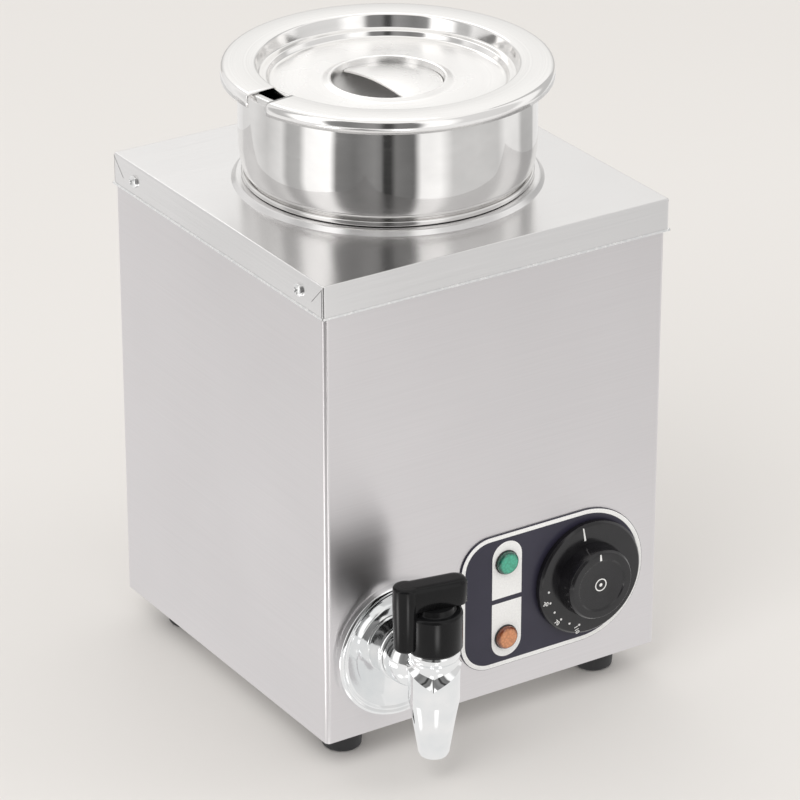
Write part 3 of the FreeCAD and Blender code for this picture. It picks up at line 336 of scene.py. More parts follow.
def lamp_plastic(name, at, edge, face, radius):
    """Translucent styrene lens with cut facets. Painted light and shade: its colour is painted paler in the middle and
    deeper towards the rim, and each facet is painted paler at its middle.
    """
    material, tree = new_material(name)
    place = add(tree, "ShaderNodeTexCoord").outputs["Object"]
    centred = add(tree, "ShaderNodeMapping", {"Vector": place, "Location": (-at.x, 0.0, -at.z)}).outputs["Vector"]
    split = add(tree, "ShaderNodeSeparateXYZ", {0: centred})
    flat = add(tree, "ShaderNodeCombineXYZ", {"X": split.outputs["X"], "Y": 0.0, "Z": split.outputs["Z"]})
    out = add(tree, "ShaderNodeVectorMath", {0: flat.outputs[0]}, operation="LENGTH").outputs["Value"]
    facets = add(tree, "ShaderNodeTexVoronoi", {"Vector": centred, "Scale": 640.0}).outputs["Distance"]
    # Painted shade: the colour darkens towards the lens's rim, by distance from its middle.
    rim = spread(tree, out, 0.0, 0.95, radius * 0.7, radius * 0.98)
    # Painted light: each facet is paler at its middle and darker towards its edges.
    grain = spread(tree, facets, -0.12, 0.3, 0.05, 0.75)
    painted_rim_and_facet_shade = add(tree, "ShaderNodeMath", {0: rim, 1: grain}, operation="ADD", use_clamp=True).outputs[0]
    close_material(tree, {
        "Base Color": tint(tree, painted_rim_and_facet_shade, face, edge, 0.0, 1.0),
        "Roughness": spread(tree, facets, 0.08, 0.2, 0.1, 0.6),
        "IOR": 1.58,
        "Subsurface Weight": 0.2,
        "Subsurface Radius": (1.0, 1.0, 1.0),
        "Subsurface Scale": 0.0015,
        "Coat Weight": 0.6,
        "Coat Roughness": 0.04,
        "Normal": bump(tree, facets, 0.12, 0.5),
    })
    return material


def soft_rubber():
    """Moulded nitrile rubber: matt, with a dusty bloom."""
    material, tree = new_material("matt_black_rubber")
    bloom = pattern(tree, (160.0, 160.0, 160.0), 3.0)
    grain = pattern(tree, (2200.0, 2200.0, 2200.0), 2.0)
    close_material(tree, {
        "Base Color": tint(tree, bloom, "#1E1E20", "#303032"),
        "Roughness": spread(tree, bloom, 0.62, 0.8),
        "IOR": 1.52,
        "Normal": bump(tree, grain, 0.03, 0.4),
    })
    return material


def plain_metal(name, low, high, rough_low, rough_high, per_metre=160.0):
    """Machined or drawn metal of the inner works, with cloudy tarnish."""
    material, tree = new_material(name)
    cloud = pattern(tree, (per_metre, per_metre, per_metre), 3.0)
    close_material(tree, {
        "Base Color": tint(tree, cloud, low, high),
        "Metallic": 1.0,
        "Roughness": spread(tree, cloud, rough_low, rough_high),
        "Normal": bump(tree, cloud, 0.01, 0.3),
    })
    return material


def plain_matt(name, low, high, rough_low, rough_high, per_metre=400.0):
    """Moulded or pressed non-metal of the inner works."""
    material, tree = new_material(name)
    fleck = pattern(tree, (per_metre, per_metre, per_metre), 3.0)
    close_material(tree, {
        "Base Color": tint(tree, fleck, low, high),
        "Roughness": spread(tree, fleck, rough_low, rough_high),
        "IOR": 1.5,
        "Normal": bump(tree, fleck, 0.02, 0.3),
    })
    return material


FINISHES = {
    "steel_satin": panel_steel,
    "deck": deck_steel,
    "steel_hidden": hidden_steel,
    "steel_polished": polished_steel,
    "lid": spun_steel,
    "pot_inside": satin_inside,
    "steel_bright": bright_zinc,
    "tap_chrome": chrome_plate,
    "rubber_black": soft_rubber,
    "handle_black": gloss_phenolic,
    "dial_black": dial_abs,
    "plastic_black": fitting_nylon,
    "plate_dark": printed_plate,
    "white_ink": white_print,
    "seam": lambda: plain_matt("dark_folded_seam", "#4A4847", "#5C5A59", 0.5, 0.6),
    "element_sheath": lambda: plain_metal("heat_tinted_steel_sheath", "#6E665C", "#8D8578", 0.35, 0.5),
    "brass": lambda: plain_metal("machined_brass", "#B08A45", "#CDA75E", 0.22, 0.36),
    "copper": lambda: plain_metal("drawn_copper", "#A8694A", "#C58362", 0.25, 0.4),
    "fibre": lambda: plain_matt("red_vulcanised_fibre", "#8A3A28", "#A24A34", 0.6, 0.75),
    "ceramic": lambda: plain_matt("off_white_urea_moulding", "#DAD5C8", "#E8E4DA", 0.35, 0.5),
    "wire_brown": lambda: plain_matt("brown_pvc_insulation", "#4A2C1A", "#5A3823", 0.4, 0.5),
    "wire_blue": lambda: plain_matt("blue_pvc_insulation", "#20448A", "#2C55A2", 0.4, 0.5),
}
made = {}
stood_for = set()


def finish(name):
    if name not in made:
        made[name] = FINISHES[name]()
    return made[name]


# ---------------------------------------------------------------- shapes

def new_piece(name, points, faces, material, sharp_deg=32.0):
    """Mesh object from points in metres. Doubles are merged and faces point outwards."""
    mesh = bpy.data.meshes.new(name)
    mesh.from_pydata([tuple(p) for p in points], [], faces)
    work = bmesh.new()
    work.from_mesh(mesh)
    bmesh.ops.remove_doubles(work, verts=work.verts, dist=1e-6)
    bmesh.ops.recalc_face_normals(work, faces=work.faces)
    work.to_mesh(mesh)
    work.free()
    return as_object(name, mesh, material, sharp_deg)


def as_object(name, mesh, material, sharp_deg=32.0):
    mesh.materials.clear()
    mesh.materials.append(material)
    mesh.polygons.foreach_set("use_smooth", [True] * len(mesh.polygons))
    mesh.set_sharp_from_angle(angle=math.radians(sharp_deg))
    piece = bpy.data.objects.new(name, mesh)
    bpy.context.scene.collection.objects.link(piece)
    return piece


def settled(piece):
    """Replaces an object's modifiers by their result."""
    graph = bpy.context.evaluated_depsgraph_get()
    mesh = bpy.data.meshes.new_from_object(piece.evaluated_get(graph))
    piece.modifiers.clear()
    old = piece.data
    piece.data = mesh
    if old.users == 0 and isinstance(old, bpy.types.Mesh):
        bpy.data.meshes.remove(old)
    return piece


def joined(name, pieces):
    """One object from several, each already in place."""
    work = bmesh.new()
    materials = []
    for piece in pieces:
        start = len(work.faces)
        work.from_mesh(piece.data)
        work.faces.ensure_lookup_table()
        material = piece.data.materials[0]
        if material not in materials:
            materials.append(material)
        for face in work.faces[start:]:
            face.material_index = materials.index(material)
    mesh = bpy.data.meshes.new(name)
    work.to_mesh(mesh)
    work.free()
    for material in materials:
        mesh.materials.append(material)
    for piece in pieces:
        bpy.data.objects.remove(piece)
    whole = bpy.data.objects.new(name, mesh)
    bpy.context.scene.collection.objects.link(whole)
    return whole


def place(piece, body, slot, *nodes):
    """The piece rides on a body and stands for the CAD nodes named. The slot argument is not used."""
    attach(piece, body)
    if nodes:
        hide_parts(*nodes)
        stood_for.update(nodes)
    return piece


def rounded_line(corners, steps=6):
    """Points (out, along, radius) in mm joined by lines, with each corner rounded to its radius."""
    spots = [(Vector((c[0], c[1])), c[2] if len(c) > 2 else 0.0) for c in corners]
    line = []
    for i, (here, radius) in enumerate(spots):
        if radius <= 0 or i in (0, len(spots) - 1):
            line.append((here.x, here.y))
            continue
        back = (spots[i - 1][0] - here)
        on = (spots[i + 1][0] - here)
        half = back.angle(on) / 2
        if half > math.radians(89):
            line.append((here.x, here.y))
            continue
        reach = min(radius / math.tan(half), back.length * 0.49, on.length * 0.49)
        r = reach * math.tan(half)
        start = here + back.normalized() * reach
        stop = here + on.normalized() * reach
        centre = here + (back.normalized() + on.normalized()).normalized() * math.hypot(reach, r)
        for k in range(steps + 1):
            t = k / steps
            ray = (start - centre).lerp(stop - centre, t)
            angle = (start - centre).angle(stop - centre)
            if angle > 1e-6:
                a = math.sin((1 - t) * angle) / math.sin(angle)
                b = math.sin(t * angle) / math.sin(angle)
                ray = (start - centre) * a + (stop - centre) * b
            line.append((centre.x + ray.x, centre.y + ray.y))
    return line


def turned_point(r, along, angle, at, axis):
    if axis == "UP":
        return at + Vector((r * math.cos(angle), r * math.sin(angle), along)) * MM
    return at + Vector((r * math.cos(angle), -along, r * math.sin(angle))) * MM


def lathe(name, line, at, axis, material, segments=144, closed=False, sharp_deg=32.0, shape=None):
    """Turns a line of (out, along) in mm round an axis: UP, or FRONT with along to the viewer."""
    points, faces = [], []
    count = len(line)
    for k in range(segments):
        angle = 2 * math.pi * k / segments
        for r, along in line:
            if shape:
                points.append(turned_point(*shape(r, along, angle), angle, at, axis))
            else:
                points.append(turned_point(r, along, angle, at, axis))
    for k in range(segments):
        a = k * count
        b = ((k + 1) % segments) * count
        for i in range(count - 1 + closed):
            j = (i + 1) % count
            faces.append((a + i, a + j, b + j, b + i))
    return new_piece(name, points, faces, material, sharp_deg)


def outline_plate(name, outline, y_back, y_front, material, soft_mm=0.0):
    """A flat plate on the front panel from an outline of (x, z) in metres."""
    count = len(outline)
    points = [Vector((x, y, z)) for y in (y_back, y_front) for x, z in outline]
    faces = [tuple(range(count)), tuple(range(2 * count - 1, count - 1, -1))]
    faces += [(i, (i + 1) % count, count + (i + 1) % count, count + i) for i in range(count)]
    piece = new_piece(name, points, faces, material)
    if soft_mm:
        soften(piece, soft_mm)
    return piece


def outline_ring(name, outer, inner, y_back, y_front, material):
    """A flat ring between two outlines with the same number of points."""
    count = len(outer)
    points = [Vector((x, y, z)) for y in (y_back, y_front) for line in (outer, inner) for x, z in line]
    faces = []
    for i in range(count):
        j = (i + 1) % count
        faces.append((i, j, count + j, count + i))
        faces.append((2 * count + i, 3 * count + i, 3 * count + j, 2 * count + j))
        faces.append((i, 2 * count + i, 2 * count + j, j))
        faces.append((count + i, count + j, 3 * count + j, 3 * count + i))
    return new_piece(name, points, faces, material)


def soften(piece, width_mm, segments=3, angle_deg=40.0):
    bevel = piece.modifiers.new("soft_edges", "BEVEL")
    bevel.width = width_mm * MM
    bevel.segments = segments
    bevel.limit_method = "ANGLE"
    bevel.angle_limit = math.radians(angle_deg)
    bevel.harden_normals = True
    return settled(piece)


def arc(cx, cz, r, start_deg, stop_deg, steps):
    out = []
    for i in range(steps + 1):
        a = math.radians(start_deg + (stop_deg - start_deg) * i / steps)
        out.append((cx + r * math.cos(a), cz + r * math.sin(a)))
    return out


def clock(at, radius_mm, turn_deg, y):
    """A point on a face seen from the front, turned clockwise from the top."""
    a = math.radians(turn_deg)
    return Vector((at.x + radius_mm * MM * math.sin(a), y, at.z + radius_mm * MM * math.cos(a)))


def box_piece(name, low, high, material, soft_mm=0.3):
    xs, ys, zs = zip(low, high)
    points = [Vector((x, y, z)) for x in xs for y in ys for z in zs]
    faces = [(0, 1, 3, 2), (4, 6, 7, 5), (0, 4, 5, 1), (2, 3, 7, 6), (0, 2, 6, 4), (1, 5, 7, 3)]
    return soften(new_piece(name, points, faces, material), soft_mm)


# ---------------------------------------------------------------- geometry nodes

def repeat_tree():
    """Puts a copy of one piece on each point, its Z axis along the point's facing."""
    tree = bpy.data.node_groups.new("repeat_on_points", "GeometryNodeTree")
    face = tree.interface
    face.new_socket("Geometry", in_out="INPUT", socket_type="NodeSocketGeometry")
    face.new_socket("Piece", in_out="INPUT", socket_type="NodeSocketObject")
    face.new_socket("Turn", in_out="INPUT", socket_type="NodeSocketFloat")
    face.new_socket("Size", in_out="INPUT", socket_type="NodeSocketFloat")
    face.new_socket("Finish", in_out="INPUT", socket_type="NodeSocketMaterial")
    face.new_socket("Seed", in_out="INPUT", socket_type="NodeSocketInt")
    face.new_socket("Geometry", in_out="OUTPUT", socket_type="NodeSocketGeometry")
    given = add(tree, "NodeGroupInput")
    facing = add(tree, "GeometryNodeInputNamedAttribute", {"Name": "facing"}, data_type="FLOAT_VECTOR")
    aimed = add(tree, "FunctionNodeAlignRotationToVector", {"Vector": facing.outputs["Attribute"]}, axis="Z")
    piece = add(tree, "GeometryNodeObjectInfo", {"Object": given.outputs["Piece"]}, transform_space="ORIGINAL")
    points = add(tree, "GeometryNodeMeshToPoints", {"Mesh": given.outputs["Geometry"]})
    copies = add(tree, "GeometryNodeInstanceOnPoints", {
        "Points": points.outputs[0], "Instance": piece.outputs["Geometry"],
        "Rotation": aimed.outputs[0], "Scale": given.outputs["Size"]})
    # Each screw stops at its own angle, from the fixed seed.
    lazy = add(tree, "FunctionNodeRandomValue", {
        "Min": 0.0, "Max": 1.0, "Seed": given.outputs["Seed"]}, data_type="FLOAT")
    angle = add(tree, "ShaderNodeMath", {0: lazy.outputs[1], 1: given.outputs["Turn"]}, operation="MULTIPLY")
    about = add(tree, "ShaderNodeCombineXYZ", {"Z": angle.outputs[0]})
    turned = add(tree, "GeometryNodeRotateInstances", {
        "Instances": copies.outputs[0], "Rotation": about.outputs[0], "Local Space": True})
    real = add(tree, "GeometryNodeRealizeInstances", {"Geometry": turned.outputs[0]})
    dressed = add(tree, "GeometryNodeSetMaterial", {
        "Geometry": real.outputs[0], "Material": given.outputs["Finish"]})
    add(tree, "NodeGroupOutput", {"Geometry": dressed.outputs[0]})
    return tree


def repeated(name, pattern_piece, spots, material, turn=0.0, seed=1):
    """One mesh of copies of pattern_piece at spots, a list of (place, facing). The pattern is removed."""
    tree = bpy.data.node_groups.get("repeat_on_points") or repeat_tree()
    mesh = bpy.data.meshes.new(name)
    mesh.from_pydata([tuple(p) for p, _ in spots], [], [])
    facing = mesh.attributes.new("facing", "FLOAT_VECTOR", "POINT")
    for i, (_, way) in enumerate(spots):
        facing.data[i].vector = way
    carrier = bpy.data.objects.new(name, mesh)
    bpy.context.scene.collection.objects.link(carrier)
    layout = carrier.modifiers.new("repeat", "NODES")
    layout.node_group = tree
    values = {"Piece": pattern_piece, "Turn": turn, "Size": 1.0, "Finish": material, "Seed": seed}
    for item in tree.interface.items_tree:
        if item.in_out == "INPUT" and item.name in values:
            layout[item.identifier] = values[item.name]
    bpy.context.view_layer.update()
    settled(carrier)
    old = pattern_piece.data
    bpy.data.objects.remove(pattern_piece)
    bpy.data.meshes.remove(old)
    return carrier


# ---------------------------------------------------------------- settings

def length_property(name, description, mm, low=0.0, high=500.0):
    return bpy.props.FloatProperty(
        name=name, description=description, default=mm * MM, min=low * MM, max=high * MM,
        unit="LENGTH", subtype="DISTANCE", precision=4)


def number_property(name, description, default, low, high):
    return bpy.props.FloatProperty(name=name, description=description, default=default, min=low, max=high)


def colour_property(name, description, text):
    return bpy.props.FloatVectorProperty(
        name=name, description=description, default=hex_colour(text), size=4, min=0.0, max=1.0,
        subtype="COLOR")


def angle_property(name, description, degrees):
    return bpy.props.FloatProperty(
        name=name, description=description, default=math.radians(degrees), subtype="ANGLE", unit="ROTATION")


class StageSettings(bpy.types.PropertyGroup):
    floor_colour: colour_property("Floor", "Colour of the plain floor", "#DAD7D4")
    world_colour: colour_property("Surround", "Colour of the light all round", "#F4F3F1")
    world_strength: number_property("Surround strength", "Strength of the light all round", 0.97, 0.0, 4.0)
    key_power: number_property("Main light", "Power of the large soft light in watts", 18.0, 0.0, 500.0)
    fill_power: number_property("Fill light", "Power of the other soft lights in watts", 7.0, 0.0, 500.0)
    lens_mm: number_property("Lens", "Focal length of the camera in millimetres", 192.4, 10.0, 500.0)
    turn: angle_property("Camera turn", "Camera's angle left of straight ahead", -32.68)
    tilt: angle_property("Camera height angle", "Camera's angle above level", 25.47)
    camera_from_pot: bpy.props.FloatVectorProperty(
        name="Camera place", description="Camera's place from the pot's axis at the table",
        default=(-1.282, -2.012, 1.306), unit="LENGTH", subtype="TRANSLATION")


class SteelSettings(bpy.types.PropertyGroup):
    panel_roughness: number_property("Panel roughness", "Roughness of the brushed panels", 0.3, 0.0, 1.0)
    deck_roughness: number_property("Deck roughness", "Roughness of the brighter deck", 0.2, 0.0, 1.0)
    grain: number_property("Grain", "Distance between drawn grooves in millimetres", 1.1, 0.1, 10.0)


class PotSettings(bpy.types.PropertyGroup):
    segments: bpy.props.IntProperty(name="Pot steps", description="Steps round the pot", default=192, min=24)
    corner: length_property("Floor corner", "Radius where the pot's wall meets its floor", 14.0)
    rim_round: length_property("Rim", "Radius of the rolled rim", 2.1)


class LidSettings(bpy.types.PropertyGroup):
    segments: bpy.props.IntProperty(name="Lid steps", description="Steps round the lid", default=240, min=24)
    sheet: length_property("Sheet", "Thickness of the lid's sheet", 1.0)
    notch_width: length_property("Notch", "Width of the ladle notch", 17.0)
    notch_turn: angle_property("Notch turn", "Where the ladle notch is", 187.0)


class TapSettings(bpy.types.PropertyGroup):
    facet_turn: angle_property("Facet turn", "Where the point of the tap's apron is", -35.0)
    facet_drop: length_property("Facet drop", "How far the apron's point hangs down", 13.0)
    handle_turn: angle_property("Handle turn", "How far the closed handle is turned", -10.0)


class ControlSettings(bpy.types.PropertyGroup):
    border: length_property("Border", "Width of the plate's white border", 2.7)
    tab_width: length_property("Tab width", "Width of the white tab round each lamp", 21.4)
    digit_height: length_property("Digits", "Height of the dial's numbers", 2.9)
    first_number: bpy.props.IntProperty(name="First number", description="Lowest number on the dial", default=30)
    number_step: bpy.props.IntProperty(name="Number step", description="Step between numbers", default=40)
    dot_step: angle_property("Dot step", "Angle between two dots of the scale", 14.6)
    first_dot: angle_property("First dot", "Angle of the scale's first dot, clockwise from the top", 268.0)
    green_face: colour_property("Green", "Face colour of the upper lamp", "#62C4A6")
    orange_face: colour_property("Orange", "Face colour of the lower lamp", "#E6A072")


# ---------------------------------------------------------------- pieces

class BM_OT_stage(bpy.types.Operator):
    """Plain floor, soft light and the camera at the viewing angle"""
    bl_idname = "bain_marie.stage"
    bl_label = "Stage"

    def execute(self, context):
        scene = context.scene
        look = scene.bm_stage
        scene.view_settings.view_transform = "Standard"
        half = 6.0
        floor = new_piece("floor", [Vector((x * half, y * half, 0)) for x, y in ((-1, -1), (1, -1), (1, 1), (-1, 1))],
                          [(0, 1, 2, 3)], self.floor_material(look))
        self.world(scene, look)
        self.reflectors(look)
        self.lights(look)
        self.camera(scene, look)
        return {"FINISHED"}

    def floor_material(self, look):
        # Painted board: plain, eggshell, with no gloss that would mirror the object.
        material, tree = new_material("plain_pale_floor")
        cloud = pattern(tree, (1.5, 1.5, 1.5), 2.0)
        colour = add(tree, "ShaderNodeMix", {
            0: spread(tree, cloud, 0.0, 0.04), 6: tuple(look.floor_colour), 7: hex_colour("#FFFFFF")},
            data_type="RGBA").outputs[2]
        close_material(tree, {"Base Color": colour, "Roughness": 0.9, "Specular IOR Level": 0.2})
        return material

    def world(self, scene, look):
        world = bpy.data.worlds.new("soft_surround")
        scene.world = world
        world.use_nodes = True
        tree = world.node_tree
        tree.nodes.clear()
        way = add(tree, "ShaderNodeTexCoord").outputs["Generated"]
        up = add(tree, "ShaderNodeSeparateXYZ", {0: way}).outputs["Z"]
        # The studio is dimmer near the floor and brighter overhead, which gives the metal its form.
        rise = add(tree, "ShaderNodeMapRange", {
            "Value": up, "From Min": -0.02, "From Max": 0.4, "To Min": 0.57, "To Max": 1.13}).outputs["Result"]
        power = add(tree, "ShaderNodeMath", {0: rise, 1: look.world_strength}, operation="MULTIPLY").outputs[0]
        around = add(tree, "ShaderNodeBackground", {"Color": tuple(look.world_colour), "Strength": power})
        add(tree, "ShaderNodeOutputWorld", {"Surface": around.outputs[0]})

    def reflectors(self, look):
        """Grey and white studio boards in a ring, seen by polished metal alone. They give it dark and bright bands."""
        # Angle from the camera's bearing in degrees, and how bright the board is there.
        boards = ((-140, 0.8), (-118, 0.9), (-100, 0.72), (-84, 0.9), (-78, 0.5), (-67, 0.55), (-61, 1.2),
                  (-42, 1.4), (-37, 0.26), (-24, 0.2), (-9, 0.29), (-4.5, 0.24), (-2.5, 0.05), (2.5, 0.05),
                  (6, 0.22), (19, 0.17), (24, 1.1), (38, 1.2), (48, 0.74), (88, 0.7), (96, 1.0), (112, 0.95),
                  (118, 0.55), (140, 0.55))
        first, last = boards[0][0], boards[-1][0]
        bearing = math.degrees(look.turn)
        steps = 96
        points, faces = [], []
        for i in range(steps + 1):
            a = math.radians(bearing + first + (last - first) * i / steps)
            for z in (0.02, 1.25):
                points.append(POT_AXIS + Vector((0.62 * math.sin(a), -0.62 * math.cos(a), z)))
        for i in range(steps):
            faces.append((2 * i, 2 * i + 2, 2 * i + 3, 2 * i + 1))
        material, tree = new_material("grey_and_white_boards")
        place_at = add(tree, "ShaderNodeTexCoord").outputs["Object"]
        centred = add(tree, "ShaderNodeMapping", {
            "Vector": place_at, "Location": (-POT_AXIS.x, -POT_AXIS.y, 0.0)}).outputs["Vector"]
        turned = add(tree, "ShaderNodeMapping", {
            "Vector": centred, "Rotation": (0.0, 0.0, -look.turn)}).outputs["Vector"]
        split = add(tree, "ShaderNodeSeparateXYZ", {0: turned})
        ahead = add(tree, "ShaderNodeMath", {0: split.outputs["Y"], 1: -1.0}, operation="MULTIPLY").outputs[0]
        angle = add(tree, "ShaderNodeMath", {0: split.outputs["X"], 1: ahead}, operation="ARCTAN2").outputs[0]
        along = add(tree, "ShaderNodeMapRange", {
            "Value": angle, "From Min": math.radians(first), "From Max": math.radians(last)}).outputs["Result"]
        ramp = add(tree, "ShaderNodeValToRGB", {0: along})
        stops = ramp.color_ramp.elements
        for i, (turn, bright) in enumerate(boards):
            at = (turn - first) / (last - first)
            stop = stops[0] if i == 0 else stops[-1] if i == len(boards) - 1 else stops.new(at)
            stop.position = at
            stop.color = (bright, bright * 0.99, bright * 0.98, 1.0)
        glow = add(tree, "ShaderNodeEmission", {"Color": ramp.outputs["Color"], "Strength": 1.0})
        add(tree, "ShaderNodeOutputMaterial", {"Surface": glow.outputs[0]})
        self.mirrored_only(new_piece("studio_boards", points, faces, material))
        self.floor_boards(look)

    def floor_boards(self, look):
        """A white board under the object and two narrow lit strips by the tap, also seen by shiny surfaces alone."""
        half, up = 1.4, 0.4 * MM
        corners = [POT_AXIS + Vector((x * half, y * half, up)) for x, y in ((-1, -1), (1, -1), (1, 1), (-1, 1))]
        self.mirrored_only(new_piece("white_floor_board", corners, [(0, 1, 2, 3)], self.glow("white_board", 0.87)))
        # The near pair shows on the spout and the far pair on the black handle above it.
        for name, bright, near, far in (("near_strips", 1.8, 0.048, 0.078), ("far_strips", 6.0, 0.16, 0.34)):
            points, faces, fade = [], [], []
            steps = 8
            for bearing, wide in ((-107.0, 15.0), (-21.0, 12.0)):
                start = len(points)
                for i in range(steps + 1):
                    for j in range(steps + 1):
                        u, v = i / steps, j / steps
                        a = math.radians(bearing + wide * (2 * v - 1))
                        reach = near + (far - near) * u
                        points.append(SPOUT_AXIS + Vector((reach * math.sin(a), -reach * math.cos(a), 2 * up)))
                        fade.append((math.sin(math.pi * u) ** 0.5 * math.sin(math.pi * v) ** 1.5))
                for i in range(steps):
                    for j in range(steps):
                        k = start + i * (steps + 1) + j
                        faces.append((k, k + 1, k + steps + 2, k + steps + 1))
            mesh = bpy.data.meshes.new(name)
            mesh.from_pydata([tuple(p) for p in points], [], faces)
            mesh.attributes.new("fade", "FLOAT", "POINT").data.foreach_set("value", fade)
            self.mirrored_only(as_object(name, mesh, self.glow(name, bright, "fade")))

    def glow(self, name, bright, fade=None):
        material, tree = new_material(name)
        light = add(tree, "ShaderNodeEmission", {"Color": (1.0, 0.99, 0.98, 1.0), "Strength": bright})
        if fade:
            share = add(tree, "ShaderNodeAttribute", attribute_name=fade).outputs["Fac"]
            clear = add(tree, "ShaderNodeBsdfTransparent").outputs[0]
            light = add(tree, "ShaderNodeMixShader", {0: share, 1: clear, 2: light.outputs[0]})
        add(tree, "ShaderNodeOutputMaterial", {"Surface": light.outputs[0]})
        return material

    def mirrored_only(self, board):
        board.visible_camera = False
        board.visible_diffuse = False
        board.visible_shadow = False
        board.visible_transmission = False

    def lights(self, look):
        target = POT_AXIS + UP * 0.2
        lamps = (
            ("main_softbox", (-1.5, -0.9, 2.1), 1.4, 1.4, look.key_power),
            ("rear_softbox", (0.6, 2.3, 2.6), 2.0, 1.3, look.fill_power),
            ("fill_softbox", (2.0, -1.2, 1.5), 1.0, 1.4, look.fill_power),
        )
        for name, spot, wide, high, power in lamps:
            data = bpy.data.lights.new(name, "AREA")
            data.shape = "RECTANGLE"
            data.size = wide
            data.size_y = high
            data.energy = power
            lamp = bpy.data.objects.new(name, data)
            lamp.location = POT_AXIS + Vector(spot)
            lamp.rotation_euler = (target - lamp.location).to_track_quat("-Z", "Y").to_euler()
            lamp.visible_glossy = name == "rear_softbox"
            bpy.context.scene.collection.objects.link(lamp)

    def camera(self, scene, look):
        data = bpy.data.cameras.new("camera")
        data.sensor_width = 36.0
        data.lens = look.lens_mm
        data.clip_end = 50.0
        camera = bpy.data.objects.new("camera", data)
        back = Vector((math.sin(look.turn) * math.cos(look.tilt), -math.cos(look.turn) * math.cos(look.tilt),
                       math.sin(look.tilt)))
        camera.location = POT_AXIS + Vector(look.camera_from_pot)
        camera.rotation_euler = (-back).to_track_quat("-Z", "Y").to_euler()
        scene.collection.objects.link(camera)
        scene.camera = camera


class BM_OT_housing(bpy.types.Operator):
    """Finishes the casing, the deck and the panels"""
    bl_idname = "bain_marie.housing"
    bl_label = "Housing"

    def execute(self, context):
        nodes = frame["nodes"]
        for name, look in (("casing_wrap", "steel_satin"), ("back_panel", "steel_satin"),
                           ("deck_cap", "deck"), ("base_pan", "steel_hidden")):
            dress(nodes[name], finish(look))
        self.deck_hem()
        self.corner_seams()
        return {"FINISHED"}

    def deck_hem(self):
        """The skirt's edge is folded back on itself, which leaves a bead all round. The bead is given the brighter
        zinc finish of the screws, a painted highlight along the fold.
        """
        low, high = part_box("deck_cap")
        foot = DECK_FOOT
        proud, tall, deep = 0.8 * MM, 1.6 * MM, 0.6 * MM
        rows = ((Vector((low.x - proud, low.y - proud, foot)), Vector((low.x + deep, high.y + proud, foot + tall))),
                (Vector((high.x - deep, low.y - proud, foot)), Vector((high.x + proud, high.y + proud, foot + tall))),
                (Vector((low.x - proud, low.y - proud, foot)), Vector((high.x + proud, low.y + deep, foot + tall))),
                (Vector((low.x - proud, high.y - deep, foot)), Vector((high.x + proud, high.y + proud, foot + tall))))
        # Painted highlight: the hem takes the brighter zinc finish, not the deck's steel, so that the fold shows as a
        # bright line.
        hems = [box_piece("hem", a, b, finish("steel_bright"), 0.65) for a, b in rows]
        place(joined("deck_hem", hems), "housing", "steel_satin")

    def corner_seams(self):
        """Mitred joints of the skirt: fine dark lines near each corner of its sides."""
        low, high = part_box("deck_cap")
        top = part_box("casing_wrap")[1].z
        lines = []
        for x, side in ((low.x, -1), (high.x, 1)):
            for y, way in ((low.y, 1), (high.y, -1)):
                run = 12.0 * MM
                a = Vector((x, y + way * 0.8 * MM, top - 0.6 * MM))
                b = Vector((x, y + way * run, top - run))
                across = Vector((0, way, 1)).normalized() * 0.16 * MM
                out = Vector((side * 0.05 * MM, 0, 0))
                points = [a - across, a + across, b + across, b - across]
                points = [p - out for p in points] + [p + out for p in points]
                faces = [(0, 1, 2, 3), (4, 7, 6, 5)] + [(i, 4 + i, 4 + (i + 1) % 4, (i + 1) % 4) for i in range(4)]
                lines.append(new_piece("seam", points, faces, finish("seam")))
        place(joined("deck_corner_seams", lines), "housing", "steel_satin")


def dress(node, material):
    """Gives a CAD node its material."""
    for slot in node.material_slots:
        slot.material = material


class BM_OT_inner_works(bpy.types.Operator):
    """Finishes the parts behind the panels by their material slots"""
    bl_idname = "bain_marie.inner_works"
    bl_label = "Inner works"

    def execute(self, context):
        dressed = set(made.values())
        for row in frame["record"]["subparts"]:
            node = frame["nodes"][row["node"]]
            if row["node"] in stood_for or node.material_slots[0].material in dressed:
                continue
            dress(node, finish(row["material_slot"]))
        return {"FINISHED"}


